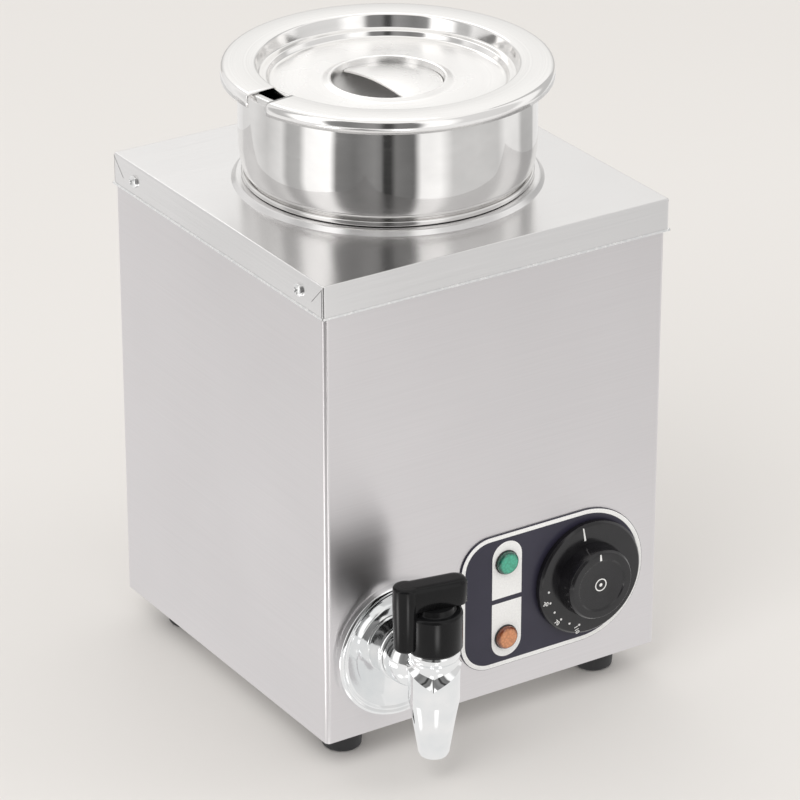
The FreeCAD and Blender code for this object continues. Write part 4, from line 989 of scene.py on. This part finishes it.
class BM_OT_screws(bpy.types.Operator):
    """Pan head screws of the deck and the back panel"""
    bl_idname = "bain_marie.screws"
    bl_label = "Screws"

    def execute(self, context):
        material = finish("steel_bright")
        low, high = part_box("deck_screws")
        head = 2.4 * MM
        side_z = (low.z + high.z) / 2
        front_y, rear_y = low.y + 4.0 * MM, high.y - 4.0 * MM
        spots = [(Vector((sign * (high.x - head), y, side_z)), Vector((sign, 0, 0)))
                 for sign in (-1, 1) for y in (front_y, rear_y)]
        place(repeated("deck_skirt_screws", self.screw(4.0, 2.4, 1.9, 9.0), spots, material, 6.0, 3),
              "housing", "steel_bright", "deck_screws")
        low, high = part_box("back_panel_screws")
        mid_z = (low.z + high.z) / 2
        spots = [(Vector((sign * (high.x - 3.5 * MM), high.y - 2.2 * MM, z)), Vector((0, 1, 0)))
                 for sign in (-1, 1) for z in (low.z + 3.5 * MM, self.back_mid(low, high, mid_z), high.z - 3.5 * MM)]
        place(repeated("back_cover_screws", self.screw(3.5, 2.2, 1.6, 8.0), spots, material, 6.0, 5),
              "housing", "steel_bright", "back_panel_screws")
        return {"FINISHED"}

    def back_mid(self, low, high, mid):
        casing_low, casing_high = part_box("casing_wrap")
        return casing_low.z + 150.0 * MM

    def screw(self, head_r, head_h, shank_r, shank_l):
        """Pan head with a cross recess, its head towards +Z and its seat at the origin."""
        line = rounded_line([(0, head_h), (head_r * 0.6, head_h * 0.98, 1.0), (head_r, head_h * 0.55, 0.8),
                             (head_r, 0.0, 0.2), (shank_r, 0.0), (shank_r, -shank_l + 0.6), (0, -shank_l)], 4)
        body = lathe("screw", line, Vector(), "UP", finish("steel_bright"), 32)
        cut = []
        for turn in (0, 90):
            slot = box_piece("recess", Vector((-0.55 * head_r, -0.13 * head_r, 0.4 * head_h)) * MM,
                             Vector((0.55 * head_r, 0.13 * head_r, head_h + 1.0)) * MM, finish("steel_bright"), 0.02)
            slot.data.transform(Matrix.Rotation(math.radians(turn), 4, "Z"))
            cut.append(slot)
        for slot in cut:
            hole = body.modifiers.new("recess", "BOOLEAN")
            hole.operation = "DIFFERENCE"
            hole.solver = "EXACT"
            hole.object = slot
        settled(body)
        for slot in cut:
            bpy.data.objects.remove(slot)
        return body


class BM_OT_feet(bpy.types.Operator):
    """Four rubber feet with a lip and a recessed underside"""
    bl_idname = "bain_marie.feet"
    bl_label = "Feet"

    def execute(self, context):
        names = ("foot_front_left", "foot_front_right", "foot_rear_left", "foot_rear_right")
        low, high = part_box(names[0])
        tall = (high.z - low.z) / MM
        wide = (high.x - low.x) / 2 / MM
        line = rounded_line([(2.4, tall), (wide, tall, 0.4), (wide, tall - 7.0, 1.2), (wide - 0.5, tall - 7.6, 0.3),
                             (wide - 1.5, 1.2, 1.2), (wide - 3.0, 0.0, 0.4), (6.0, 0.0, 0.4), (6.0, 12.0),
                             (2.4, 12.0), (2.4, tall)], 5)
        foot = lathe("foot", line, Vector(), "UP", finish("rubber_black"), 72, closed=False)
        spots = [(Vector((middle(n).x, middle(n).y, 0.0)), UP.copy()) for n in names]
        place(repeated("rubber_feet", foot, spots, finish("rubber_black")), "housing", "rubber_black", *names)
        return {"FINISHED"}


class BM_OT_pot(bpy.types.Operator):
    """Drawn pot with a rolled rim, a tucked shoulder and a rest bead"""
    bl_idname = "bain_marie.pot"
    bl_label = "Pot"

    def execute(self, context):
        look = context.scene.bm_pot
        low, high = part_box("pot")
        top = high.z / MM
        base = low.z / MM
        rim = (high.x - low.x) / 2 / MM
        wall = rim - 6.0
        bead = wall - 1.5
        neck = wall - 8.0
        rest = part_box("deck_cap")[1].z / MM + 0.3
        sheet = 1.0
        corner = look.corner / MM
        roll = look.rim_round / MM
        swell = []
        for i in range(15):
            a = math.pi / 2 * i / 14
            swell.append((bead - 2.4 + 3.9 * math.sin(a), rest + 23.5 - 19.2 * math.cos(a)))
        outside = rounded_line([(0, base), (neck, base, corner), (neck, rest, 0.8), (bead, rest, 1.1),
                                (bead, rest + 3.3, 1.1), (bead - 3.4, rest + 3.4, 0.4),
                                (bead - 3.4, rest + 4.3, 0.4)] + swell[:2], 8)
        outside += swell[2:-1]
        outside += rounded_line([swell[-1], (wall, top - 4.4, 0.6), (rim, top - 4.4, roll),
                                 (rim, top, roll), (wall - sheet, top, 2.4), (wall - sheet, rest + 24.0)], 8)
        inside = [(r - sheet, z + 0.5) for r, z in reversed(swell[1:])]
        inside += rounded_line([(bead - 3.4 - sheet, rest + 3.6), (bead - 3.4 - sheet, rest + 2.9, 0.3),
                                (bead - sheet, rest + 2.6, 0.4),
                                (bead - sheet, rest + 1.2, 0.4), (neck - sheet, rest + 1.0, 0.6),
                                (neck - sheet, base + sheet, corner - sheet), (0, base + sheet)], 8)
        pot = lathe("polished_pot", outside + inside, POT_AXIS, "UP", finish("steel_polished"),
                    look.segments, sharp_deg=50.0)
        pot.data.materials.append(finish("pot_inside"))
        for face in pot.data.polygons:
            if self.inward(face, low.z, high.z):
                face.material_index = 1
        place(pot, "pot", "steel_polished", "pot")
        return {"FINISHED"}


    def inward(self, face, base, rim):
        """True for the pot's inner wall and floor."""
        if face.center.z < base + 0.012:
            return face.normal.z > 0.0
        way = face.center - POT_AXIS
        return face.normal.dot(Vector((way.x, way.y, 0.0))) < 0.0 and face.center.z < rim - 0.003


class BM_OT_lid(bpy.types.Operator):
    """Pressed lid with its ladle notch, and the half-moon grip plate over its hollow"""
    bl_idname = "bain_marie.lid"
    bl_label = "Lid"

    def execute(self, context):
        look = context.scene.bm_lid
        low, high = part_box("lid_cover")
        top = high.z / MM
        edge = (high.x - low.x) / 2 / MM
        recess = edge - 21.0
        shelf = top - 8.5
        disc = top - 12.0
        hollow = 35.0
        bowl = [(33.8 * math.cos(a), disc - 1.0 - 13.0 * math.sin(a))
                for a in [math.pi / 2 * i / 12 for i in range(1, 13)]]
        bowl[-1] = (0.0, disc - 14.0)
        line = rounded_line([
            (edge, top - 8.0), (edge, top, 3.2), (recess, top, 1.7), (recess - 1.9, shelf, 1.3),
            (recess - 6.6, shelf, 1.0), (recess - 8.0, disc, 1.4), (hollow + 4.0, disc, 3.0),
            (hollow + 0.6, disc + 1.6, 0.9), (hollow - 0.8, disc + 1.2, 0.6), (33.9, disc - 0.6)], 6) + bowl
        lid = self.notched(line, edge, recess, look)
        wall = lid.modifiers.new("sheet", "SOLIDIFY")
        wall.thickness = look.sheet
        wall.offset = -1.0
        settled(lid)
        place(lid, "lid", "steel_polished", "lid_cover")
        self.grip_plate(disc, hollow)
        return {"FINISHED"}

    def notched(self, line, edge, recess, look):
        """The turned sheet, with its steps round the notch moved so that the notch has straight sides."""
        half = look.notch_width / MM / 2
        inner = recess - 1.0
        steps = look.segments
        middle_turn = look.notch_turn
        base = math.asin(half / (edge - 10.0))
        inside = 6
        angles = [-base + 2 * base * i / inside for i in range(inside)]
        rest = steps - inside
        angles += [base + (2 * math.pi - 2 * base) * i / rest for i in range(rest)]
        points, faces = [], []
        count = len(line)
        for u in angles:
            for r, z in line:
                fit = math.asin(min(half / max(r, inner - 6.0), 1.0))
                if u <= base + 1e-9:
                    turn = u * fit / base
                else:
                    turn = fit + (u - base) * (2 * math.pi - 2 * fit) / (2 * math.pi - 2 * base)
                points.append(turned_point(r, z, middle_turn + turn, POT_AXIS, "UP"))
        for k in range(len(angles)):
            a, b = k * count, ((k + 1) % len(angles)) * count
            for i in range(count - 1):
                if k < inside and min(line[i][0], line[i + 1][0]) > inner:
                    continue
                faces.append((a + i, a + i + 1, b + i + 1, b + i))
        piece = new_piece("pressed_lid", points, faces, finish("lid"), 40.0)
        mesh = piece.data
        top_face = max(mesh.polygons, key=lambda f: f.center.z)
        if top_face.normal.z < 0:
            mesh.flip_normals()
        return piece

    def grip_plate(self, disc, hollow):
        """A shallow domed half-moon, its straight edge left free for the fingers."""
        radius = hollow - 1.9
        ball = 160.0
        crown = disc + 1.4
        turn = math.radians(5.0)
        set_back = -9.0
        columns, rows = 30, 36
        points, faces = [], []
        for i in range(columns + 1):
            t = i / columns
            x = set_back + (radius - set_back) * math.sin(math.pi / 2 * t)
            x = min(x, radius - 0.001)
            chord = math.sqrt(radius * radius - x * x)
            for j in range(rows + 1):
                y = chord * math.sin(math.pi / 2 * (2 * j / rows - 1))
                z = crown - ball + math.sqrt(ball * ball - x * x - y * y)
                spot = Vector((x * math.cos(turn) - y * math.sin(turn), x * math.sin(turn) + y * math.cos(turn), z))
                points.append(POT_AXIS + spot * MM)
        for i in range(columns):
            for j in range(rows):
                a = i * (rows + 1) + j
                faces.append((a, a + 1, a + rows + 2, a + rows + 1))
        plate = new_piece("grip_plate", points, faces, finish("lid"), 40.0)
        mesh = plate.data
        if mesh.polygons[len(mesh.polygons) // 2].normal.z < 0:
            mesh.flip_normals()
        wall = plate.modifiers.new("sheet", "SOLIDIFY")
        wall.thickness = 1.2 * MM
        wall.offset = -1.0
        settled(plate)
        soften(plate, 0.25, 2)
        place(plate, "lid", "steel_polished", "lid_handle")


class BM_OT_tap(bpy.types.Operator):
    """Chrome tap: dished rose, ring nut and the casting with its spout"""
    bl_idname = "bain_marie.tap"
    bl_label = "Tap"

    def execute(self, context):
        chrome = finish("tap_chrome")
        low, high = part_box("tap_escutcheon")
        rose = (high.x - low.x) / 2 / MM
        line = rounded_line([
            (10.2, 0.0), (rose - 0.3, 0.0), (rose, 0.8, 0.5), (rose, 4.6, 1.4), (rose - 1.8, 5.9, 1.1),
            (rose - 3.4, 4.7, 0.7), (rose - 4.3, 4.9, 0.5), (rose - 6.0, 4.3, 2.0), (rose - 13.0, 2.9, 10.0),
            (rose - 24.0, 2.5, 10.0), (10.2, 2.5)], 8)
        place(lathe("tap_rose", line, SHANK_AT, "FRONT", chrome, 144, closed=True), "housing", "tap_chrome",
              "tap_escutcheon")
        low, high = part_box("tap_ring_nut")
        nut = (high.x - low.x) / 2 / MM
        start = (PANEL_Y - high.y) / MM
        stop = (PANEL_Y - low.y) / MM
        line = rounded_line([
            (10.2, start), (nut - 5.6, start, 0.3), (nut - 5.0, start + 0.8, 0.6), (nut - 0.3, stop - 3.0, 1.0),
            (nut, stop - 1.6, 0.7), (nut - 0.8, stop, 0.7), (nut - 2.4, stop, 0.4), (10.2, stop - 0.4)], 6)
        place(lathe("tap_ring", line, SHANK_AT, "FRONT", chrome, 96, closed=True), "housing", "tap_chrome",
              "tap_ring_nut")
        self.casting(chrome)
        return {"FINISHED"}

    def casting(self, chrome):
        look = bpy.context.scene.bm_tap
        low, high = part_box("tap_body")
        foot = low.z / MM
        shank_z = SHANK_AT.z / MM
        neck_top = high.z / MM
        shoulder = neck_top - 11.0
        barrel = 15.5
        point_turn = -math.pi / 2 + look.facet_turn
        drop = look.facet_drop / MM
        high_line = shank_z + 8.0

        calm, mark, crown = shank_z - 16.0, shank_z + 4.0, shank_z + 13.0

        def fold(r, z, angle):
            """The barrel's apron: its ledge dips to a point twice round, with a hollow over it."""
            if r < 8.0 or z <= calm or z >= crown:
                return r, z
            away = abs((angle - point_turn + math.pi / 2) % math.pi - math.pi / 2) / (math.pi / 2)
            ledge = high_line - drop * (1.0 - away ** 0.8)
            if z <= mark:
                t = (z - calm) / (mark - calm)
                return r + 0.6 * t * t, calm + (ledge - calm) * t
            t = (z - mark) / (crown - mark)
            deep = 0.2 * (crown - ledge)
            return r + 0.6 * (1 - t) - deep * math.sin(math.pi * t) ** 0.75, ledge + (crown - ledge) * t

        rise = [(7.0, foot), (8.3, foot + 0.5, 0.6), (9.3, foot + 2.4, 1.6), (10.7, foot + 11.0, 12.0),
                (13.3, foot + 27.0, 30.0), (15.2, shank_z - 18.0, 20.0), (barrel, calm)]
        line = [(5.5, foot + 30.0), (5.5, foot + 0.4), (5.9, foot)] + rounded_line(rise, 6)
        line += [(barrel + 0.2 * i / 12, calm + (mark - calm) * i / 12) for i in range(1, 13)]
        line += [(barrel + 0.2, mark + (crown - mark) * i / 14) for i in range(1, 14)]
        line += rounded_line([(barrel + 0.2, crown), (barrel + 0.4, shoulder - 2.6, 0.6), (barrel, shoulder, 0.8),
                              (10.5, shoulder, 0.3), (10.5, neck_top), (8.6, neck_top)], 4)
        body = lathe("spout", line, SPOUT_AXIS, "UP", chrome, 180, shape=fold, sharp_deg=38.0)
        reach = (PANEL_Y - SPOUT_AXIS.y) / MM
        start = (PANEL_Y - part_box("tap_ring_nut")[0].y) / MM + 0.3
        ball_r = 18.0
        ball_at = 16.0
        bulb = []
        for i in range(22):
            along = start + (reach - start) * i / 21
            away = along - ball_at
            inside = ball_r * ball_r - away * away
            r = math.sqrt(inside) if inside > 0 else 0.0
            bulb.append((max(r, 12.0), along))
        back = (PANEL_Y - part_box("tap_body")[1].y) / MM
        shank = rounded_line([(5.5, back), (9.4, back, 0.3), (10.0, back + 0.8), (10.0, start), bulb[0]], 3)
        neck = lathe("tap_neck", shank + bulb[1:], SHANK_AT, "FRONT", chrome, 96, sharp_deg=50.0)
        place(joined("tap_casting", [body, neck]), "housing", "tap_chrome", "tap_body")


class BM_OT_tap_handle(bpy.types.Operator):
    """Black moulded handle: collar, side pillar and the lever over them"""
    bl_idname = "bain_marie.tap_handle"
    bl_label = "Tap handle"

    def execute(self, context):
        look = context.scene.bm_tap
        black = finish("handle_black")
        low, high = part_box("tap_handle")
        foot = low.z / MM
        top = high.z / MM
        collar_top = foot + 24.8
        lever_low = top - 16.6
        collar_r = 17.0
        collar = lathe("collar", rounded_line([
            (11.0, foot + 11.8), (11.0, foot), (collar_r, foot, 1.2), (collar_r, collar_top, 2.2),
            (12.6, collar_top + 0.2, 1.0), (12.0, lever_low + 1.0), (0, lever_low + 1.0)], 6),
            SPOUT_AXIS, "UP", black, 112)
        pillar_at = SPOUT_AXIS + Vector((-18.0, 0.0, 0.0)) * MM
        pillar = lathe("pillar", rounded_line([
            (0, foot + 1.5), (7.4, foot + 1.5, 2.6), (8.1, top - 12.0, 40.0), (7.9, top - 0.3, 2.0),
            (5.0, top - 0.05, 3.0), (0, top - 0.05)], 8), pillar_at, "UP", black, 72)
        web = box_piece("web", SPOUT_AXIS + Vector((-20.0, -5.4, foot + 2.6)) * MM,
                        SPOUT_AXIS + Vector((-11.0, 5.4, lever_low + 2.0)) * MM, black, 1.2)
        lever = self.lever(lever_low, top, black)
        whole = joined("tap_lever", [collar, pillar, web, lever])
        turn = Matrix.Translation(SPOUT_AXIS) @ Matrix.Rotation(look.handle_turn, 4, "Z")
        whole.data.transform(turn @ Matrix.Translation(-SPOUT_AXIS))
        place(whole, "tap_turn", "handle_black", "tap_handle")
        return {"FINISHED"}

    def lever(self, low, top, black):
        """A rounded bar, crowned on top."""
        left, right = -25.0, 20.0
        half = 7.5
        outline = arc(right - 6.5, half - 6.5, 6.5, 0, 90, 8) + arc(left + 6.5, half - 6.5, 6.5, 90, 180, 8)
        outline += arc(left + 6.5, -half + 6.5, 6.5, 180, 270, 8) + arc(right - 6.5, -half + 6.5, 6.5, 270, 360, 8)
        rings = []
        for inset, z in ((1.6, low), (0.5, low + 0.35), (0.0, low + 1.3), (0.0, top - 3.0), (0.3, top - 1.7),
                         (1.0, top - 0.8), (2.1, top - 0.25), (3.6, top - 0.02), (4.4, top)):
            ring = []
            for x, y in outline:
                mid = (left + right) / 2
                fx = (x - mid) * (1 - inset / 23.0) + mid
                fy = y * (1 - inset / half)
                ring.append(Vector((fx, fy, z)))
            rings.append(ring)
        count = len(outline)
        points = [SPOUT_AXIS + p * MM for ring in rings for p in ring]
        faces = [tuple(range(count - 1, -1, -1)), tuple(range((len(rings) - 1) * count, len(rings) * count))]
        for k in range(len(rings) - 1):
            for i in range(count):
                j = (i + 1) % count
                faces.append((k * count + i, k * count + j, (k + 1) * count + j, (k + 1) * count + i))
        return new_piece("lever", points, faces, black, 45.0)


class BM_OT_control_plate(bpy.types.Operator):
    """Slate plate with its white border and the two white tabs"""
    bl_idname = "bain_marie.control_plate"
    bl_label = "Control plate"

    def execute(self, context):
        look = context.scene.bm_control
        slate, white = finish("plate_dark"), finish("white_ink")
        y_face = PLATE_LOW.y
        plate = outline_plate("slate_plate", self.outline(0.0), PANEL_Y, y_face + 0.06 * MM, slate, 0.25)
        place(plate, "housing", "plate_dark", "control_plate")
        border = outline_ring("plate_border", self.outline(0.35), self.outline(0.35 + look.border / MM),
                              y_face + 0.5 * MM, y_face - 0.02 * MM, white)
        place(border, "housing", "plate_dark")
        lamp_x = middle("power_lamp_lens").x + 0.8 * MM
        half = look.tab_width / 2
        mid = (middle("power_lamp_lens").z + middle("heat_lamp_lens").z) / 2
        upper = self.tab(lamp_x, mid + 1.6 * MM, mid + 39.2 * MM, half, 1)
        lower = self.tab(lamp_x, mid - 1.6 * MM, mid - 39.2 * MM, half, -1)
        for name, outline in (("upper_lamp_tab", upper), ("lower_lamp_tab", lower)):
            place(outline_plate(name, outline, y_face + 0.5 * MM, y_face - 0.02 * MM, white), "housing", "plate_dark")
        return {"FINISHED"}

    def outline(self, inset_mm):
        """Left corners rounded, right end a half circle."""
        low, high = PLATE_LOW, PLATE_HIGH
        inset = inset_mm * MM
        end = (high.z - low.z) / 2
        mid = (high.z + low.z) / 2
        corner = 21.0 * MM
        line = arc(high.x - end, mid, end - inset, -90, 90, 48)
        line += arc(low.x + corner, high.z - corner, corner - inset, 90, 180, 20)
        line += arc(low.x + corner, low.z + corner, corner - inset, 180, 270, 20)
        return line

    def tab(self, x, flat_z, far_z, half, sign):
        centre = far_z - sign * half
        line = arc(x, centre, half, 0, 180 * sign, 28)
        return line + [(x - half, flat_z), (x + half, flat_z)]


class BM_OT_lamps(bpy.types.Operator):
    """Green and orange lamps, each a lens in a thin bezel"""
    bl_idname = "bain_marie.lamps"
    bl_label = "Lamps"

    def execute(self, context):
        rows = (("power_lamp", "#0E4A3C", "#3DB493", "green_lens_styrene", "lens_green"),
                ("heat_lamp", "#6E3212", "#DE9460", "orange_lens_styrene", "lens_orange"))
        for name, edge, face, title, slot in rows:
            at = middle(name + "_lens")
            at.y = PLATE_LOW.y
            radius = 7.4
            lens_look = lamp_plastic(title, at, edge, face, radius * MM)
            proud = (PLATE_LOW.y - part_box(name + "_lens")[0].y) / MM
            inner = (PLATE_LOW.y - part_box(name + "_lens")[1].y) / MM
            line = rounded_line([(0, proud), (radius - 1.2, proud - 0.35, 1.4), (radius - 0.1, proud - 1.5, 0.8),
                                 (radius, 0.4), (4.4, 0.4), (4.4, inner), (0, inner)], 6)
            lens = lathe(name + "_button", line, at, "FRONT", lens_look, 72)
            place(lens, "housing", slot, name + "_lens")
            self.bezel(name, at)
        return {"FINISHED"}

    def bezel(self, name, at):
        """A low ring round the lens, on the lamp's threaded barrel."""
        back = (PLATE_LOW.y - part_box(name + "_body")[1].y) / MM
        line = rounded_line([(7.5, 0.1), (7.9, 0.1, 0.2), (7.9, 1.0, 0.35), (7.5, 1.2, 0.2)], 4)
        ring = lathe(name + "_bezel", line, at, "FRONT", finish("plastic_black"), 72, closed=True)
        barrel = lathe(name + "_barrel", rounded_line([
            (4.7, 0.0), (6.0, 0.0), (6.0, back + 7.0, 0.6), (4.7, back + 7.0)], 4), at, "FRONT",
            finish("plastic_black"), 48, closed=True)
        tags = []
        for side in (-1, 1):
            x = at.x + side * 3.2 * MM
            y = PLATE_LOW.y - back * MM
            tags.append(box_piece("tag", Vector((x - 0.4 * MM, y - 7.4 * MM, at.z - 2.4 * MM)),
                                  Vector((x + 0.4 * MM, y, at.z + 2.4 * MM)), finish("brass"), 0.15))
        place(joined(name + "_holder", [ring, barrel] + tags), "housing", "plastic_black", name + "_body")


class BM_OT_dial(bpy.types.Operator):
    """Dial skirt with its dots and numbers, and the grip with its pointer"""
    bl_idname = "bain_marie.dial"
    bl_label = "Dial"

    def execute(self, context):
        black, white = finish("dial_black"), finish("white_ink")
        look = context.scene.bm_control
        low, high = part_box("dial_skirt")
        back = high.y
        at = Vector((DIAL_AT.x, back, DIAL_AT.z))
        outer = (high.x - low.x) / 2 / MM
        tall = (high.y - low.y) / MM
        skirt = lathe("dial_disc", rounded_line([
            (3.2, tall - 1.8), (3.2, tall), (24.0, tall, 0.2), (24.2, tall), (outer - 1.6, tall - 0.15, 0.9),
            (outer - 0.2, tall - 1.5, 0.7), (outer, 0.3, 0.2), (outer - 1.4, 0.0), (outer - 2.4, tall - 1.8)], 5),
            at, "FRONT", black, 144, closed=True)
        place(skirt, "dial", "dial_black", "dial_skirt")
        self.grip(at, tall, black)
        face_y = low.y
        self.scale(at, face_y, look, white)
        return {"FINISHED"}

    def grip(self, at, skirt, black):
        low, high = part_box("thermostat_knob")
        wide = (high.x - low.x) / 2 / MM + 0.9
        tall = (at.y - low.y) / MM
        face = wide - 1.7
        line = rounded_line([
            (3.05, skirt), (wide, skirt), (wide, skirt + 1.0, 0.5), (face + 0.6, tall - 1.9, 1.6),
            (face - 0.7, tall, 0.8), (face - 4.9, tall - 0.1, 0.7), (face - 6.0, tall - 1.0, 1.2),
            (8.0, tall - 1.5, 12.0), (0, tall - 1.5)], 8)
        line = [(3.05, tall - 3.8)] + line
        place(lathe("dial_grip", [(0, tall - 3.8)] + line, at, "FRONT", black, 120), "dial", "dial_black",
              "thermostat_knob")

    def scale(self, at, y, look, white):
        dots = [clock(at, 31.2, math.degrees(look.first_dot) - i * math.degrees(look.dot_step), y) for i in range(6)]
        dot = lathe("dot", [(0.0, 0.04), (0.72, 0.04), (0.72, -0.15), (0, -0.15)], Vector(), "UP", white, 16)
        spots = [(p, FRONT.copy()) for p in dots]
        place(repeated("scale_dots", dot, spots, white), "dial", "dial_black")
        digits = []
        for i in range(3):
            turn = math.degrees(look.first_dot) - (2 * i + 1) * math.degrees(look.dot_step) + 2.0
            digits.append(self.number(str(look.first_number + i * look.number_step), at, turn, y, look, white))
        place(joined("scale_numbers", digits), "dial", "dial_black")
        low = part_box("thermostat_knob")[0]
        strokes = [self.stroke(at, 350.0, 27.4, 36.2, 1.3, 0.7, y, white),
                   self.stroke(at, 356.0, 17.4, 21.6, 1.5, 0.9, low.y + 0.02 * MM, white)]
        place(joined("pointer_marks", strokes), "dial", "dial_black")
        ring = lathe("knob_ring", [(3.5, 0.0), (4.2, 0.0), (4.2, -1.0), (3.5, -1.0)],
                     Vector((at.x, low.y + 1.44 * MM, at.z)), "FRONT", white, 48, closed=True)
        pip = lathe("knob_pip", [(0, 0.0), (1.1, 0.0), (1.1, -1.0), (0, -1.0)],
                    Vector((at.x, low.y + 1.44 * MM, at.z)), "FRONT", white, 24)
        place(joined("grip_mark", [ring, pip]), "dial", "dial_black")

    def stroke(self, at, turn, near, far, wide_near, wide_far, y, white):
        """A tapered line that points at the middle."""
        a = clock(at, near, turn, y)
        b = clock(at, far, turn, y)
        side = Vector((math.cos(math.radians(turn)), 0, -math.sin(math.radians(turn))))
        corners = [a - side * wide_near / 2 * MM, a + side * wide_near / 2 * MM,
                   b + side * wide_far / 2 * MM, b - side * wide_far / 2 * MM]
        outline = [(p.x, p.z) for p in corners]
        return outline_plate("stroke", outline, y + 0.2 * MM, y - 0.04 * MM, white)

    def number(self, text, at, turn, y, look, white):
        curve = bpy.data.curves.new("number", "FONT")
        curve.body = text
        curve.size = look.digit_height * 1.35
        curve.align_x = "CENTER"
        curve.align_y = "CENTER"
        curve.extrude = 0.04 * MM
        curve.offset = 0.06 * MM
        curve.resolution_u = 3
        writer = bpy.data.objects.new("number", curve)
        bpy.context.scene.collection.objects.link(writer)
        bpy.context.view_layer.update()
        graph = bpy.context.evaluated_depsgraph_get()
        mesh = bpy.data.meshes.new_from_object(writer.evaluated_get(graph))
        bpy.data.objects.remove(writer)
        bpy.data.curves.remove(curve)
        spot = clock(at, 34.4, turn, y)
        lean = Matrix.Rotation(math.radians(90 - turn + 180), 4, "Y")
        mesh.transform(Matrix.Translation(spot) @ lean @ Matrix.Rotation(math.radians(90), 4, "X"))
        return as_object("number_" + text, mesh, white)


class BM_PT_panel(bpy.types.Panel):
    """Lists the pieces of the bain marie"""
    bl_label = "Bain marie"
    bl_idname = "BM_PT_panel"
    bl_space_type = "VIEW_3D"
    bl_region_type = "UI"
    bl_category = "Bain marie"

    def draw(self, context):
        for operator in OPERATORS:
            self.layout.operator(operator.bl_idname)
        for name in GROUPS:
            settings = getattr(context.scene, name)
            box = self.layout.box()
            for key in settings.bl_rna.properties.keys():
                if key not in ("rna_type", "name"):
                    box.prop(settings, key)


GROUPS = {
    "bm_stage": StageSettings,
    "bm_steel": SteelSettings,
    "bm_pot": PotSettings,
    "bm_lid": LidSettings,
    "bm_tap": TapSettings,
    "bm_control": ControlSettings,
}
OPERATORS = (BM_OT_stage, BM_OT_housing, BM_OT_screws, BM_OT_feet, BM_OT_pot, BM_OT_lid, BM_OT_tap,
             BM_OT_tap_handle, BM_OT_control_plate, BM_OT_lamps, BM_OT_dial, BM_OT_inner_works)


def register():
    for name, group in GROUPS.items():
        bpy.utils.register_class(group)
        setattr(bpy.types.Scene, name, bpy.props.PointerProperty(type=group))
    for operator in OPERATORS:
        bpy.utils.register_class(operator)
    bpy.utils.register_class(BM_PT_panel)


def unregister():
    bpy.utils.unregister_class(BM_PT_panel)
    for operator in reversed(OPERATORS):
        bpy.utils.unregister_class(operator)
    for name, group in GROUPS.items():
        delattr(bpy.types.Scene, name)
        bpy.utils.unregister_class(group)


def main():
    register()
    for operator in OPERATORS:
        family, name = operator.bl_idname.split(".")
        getattr(getattr(bpy.ops, family), name)()


if __name__ == "__main__":
    main()
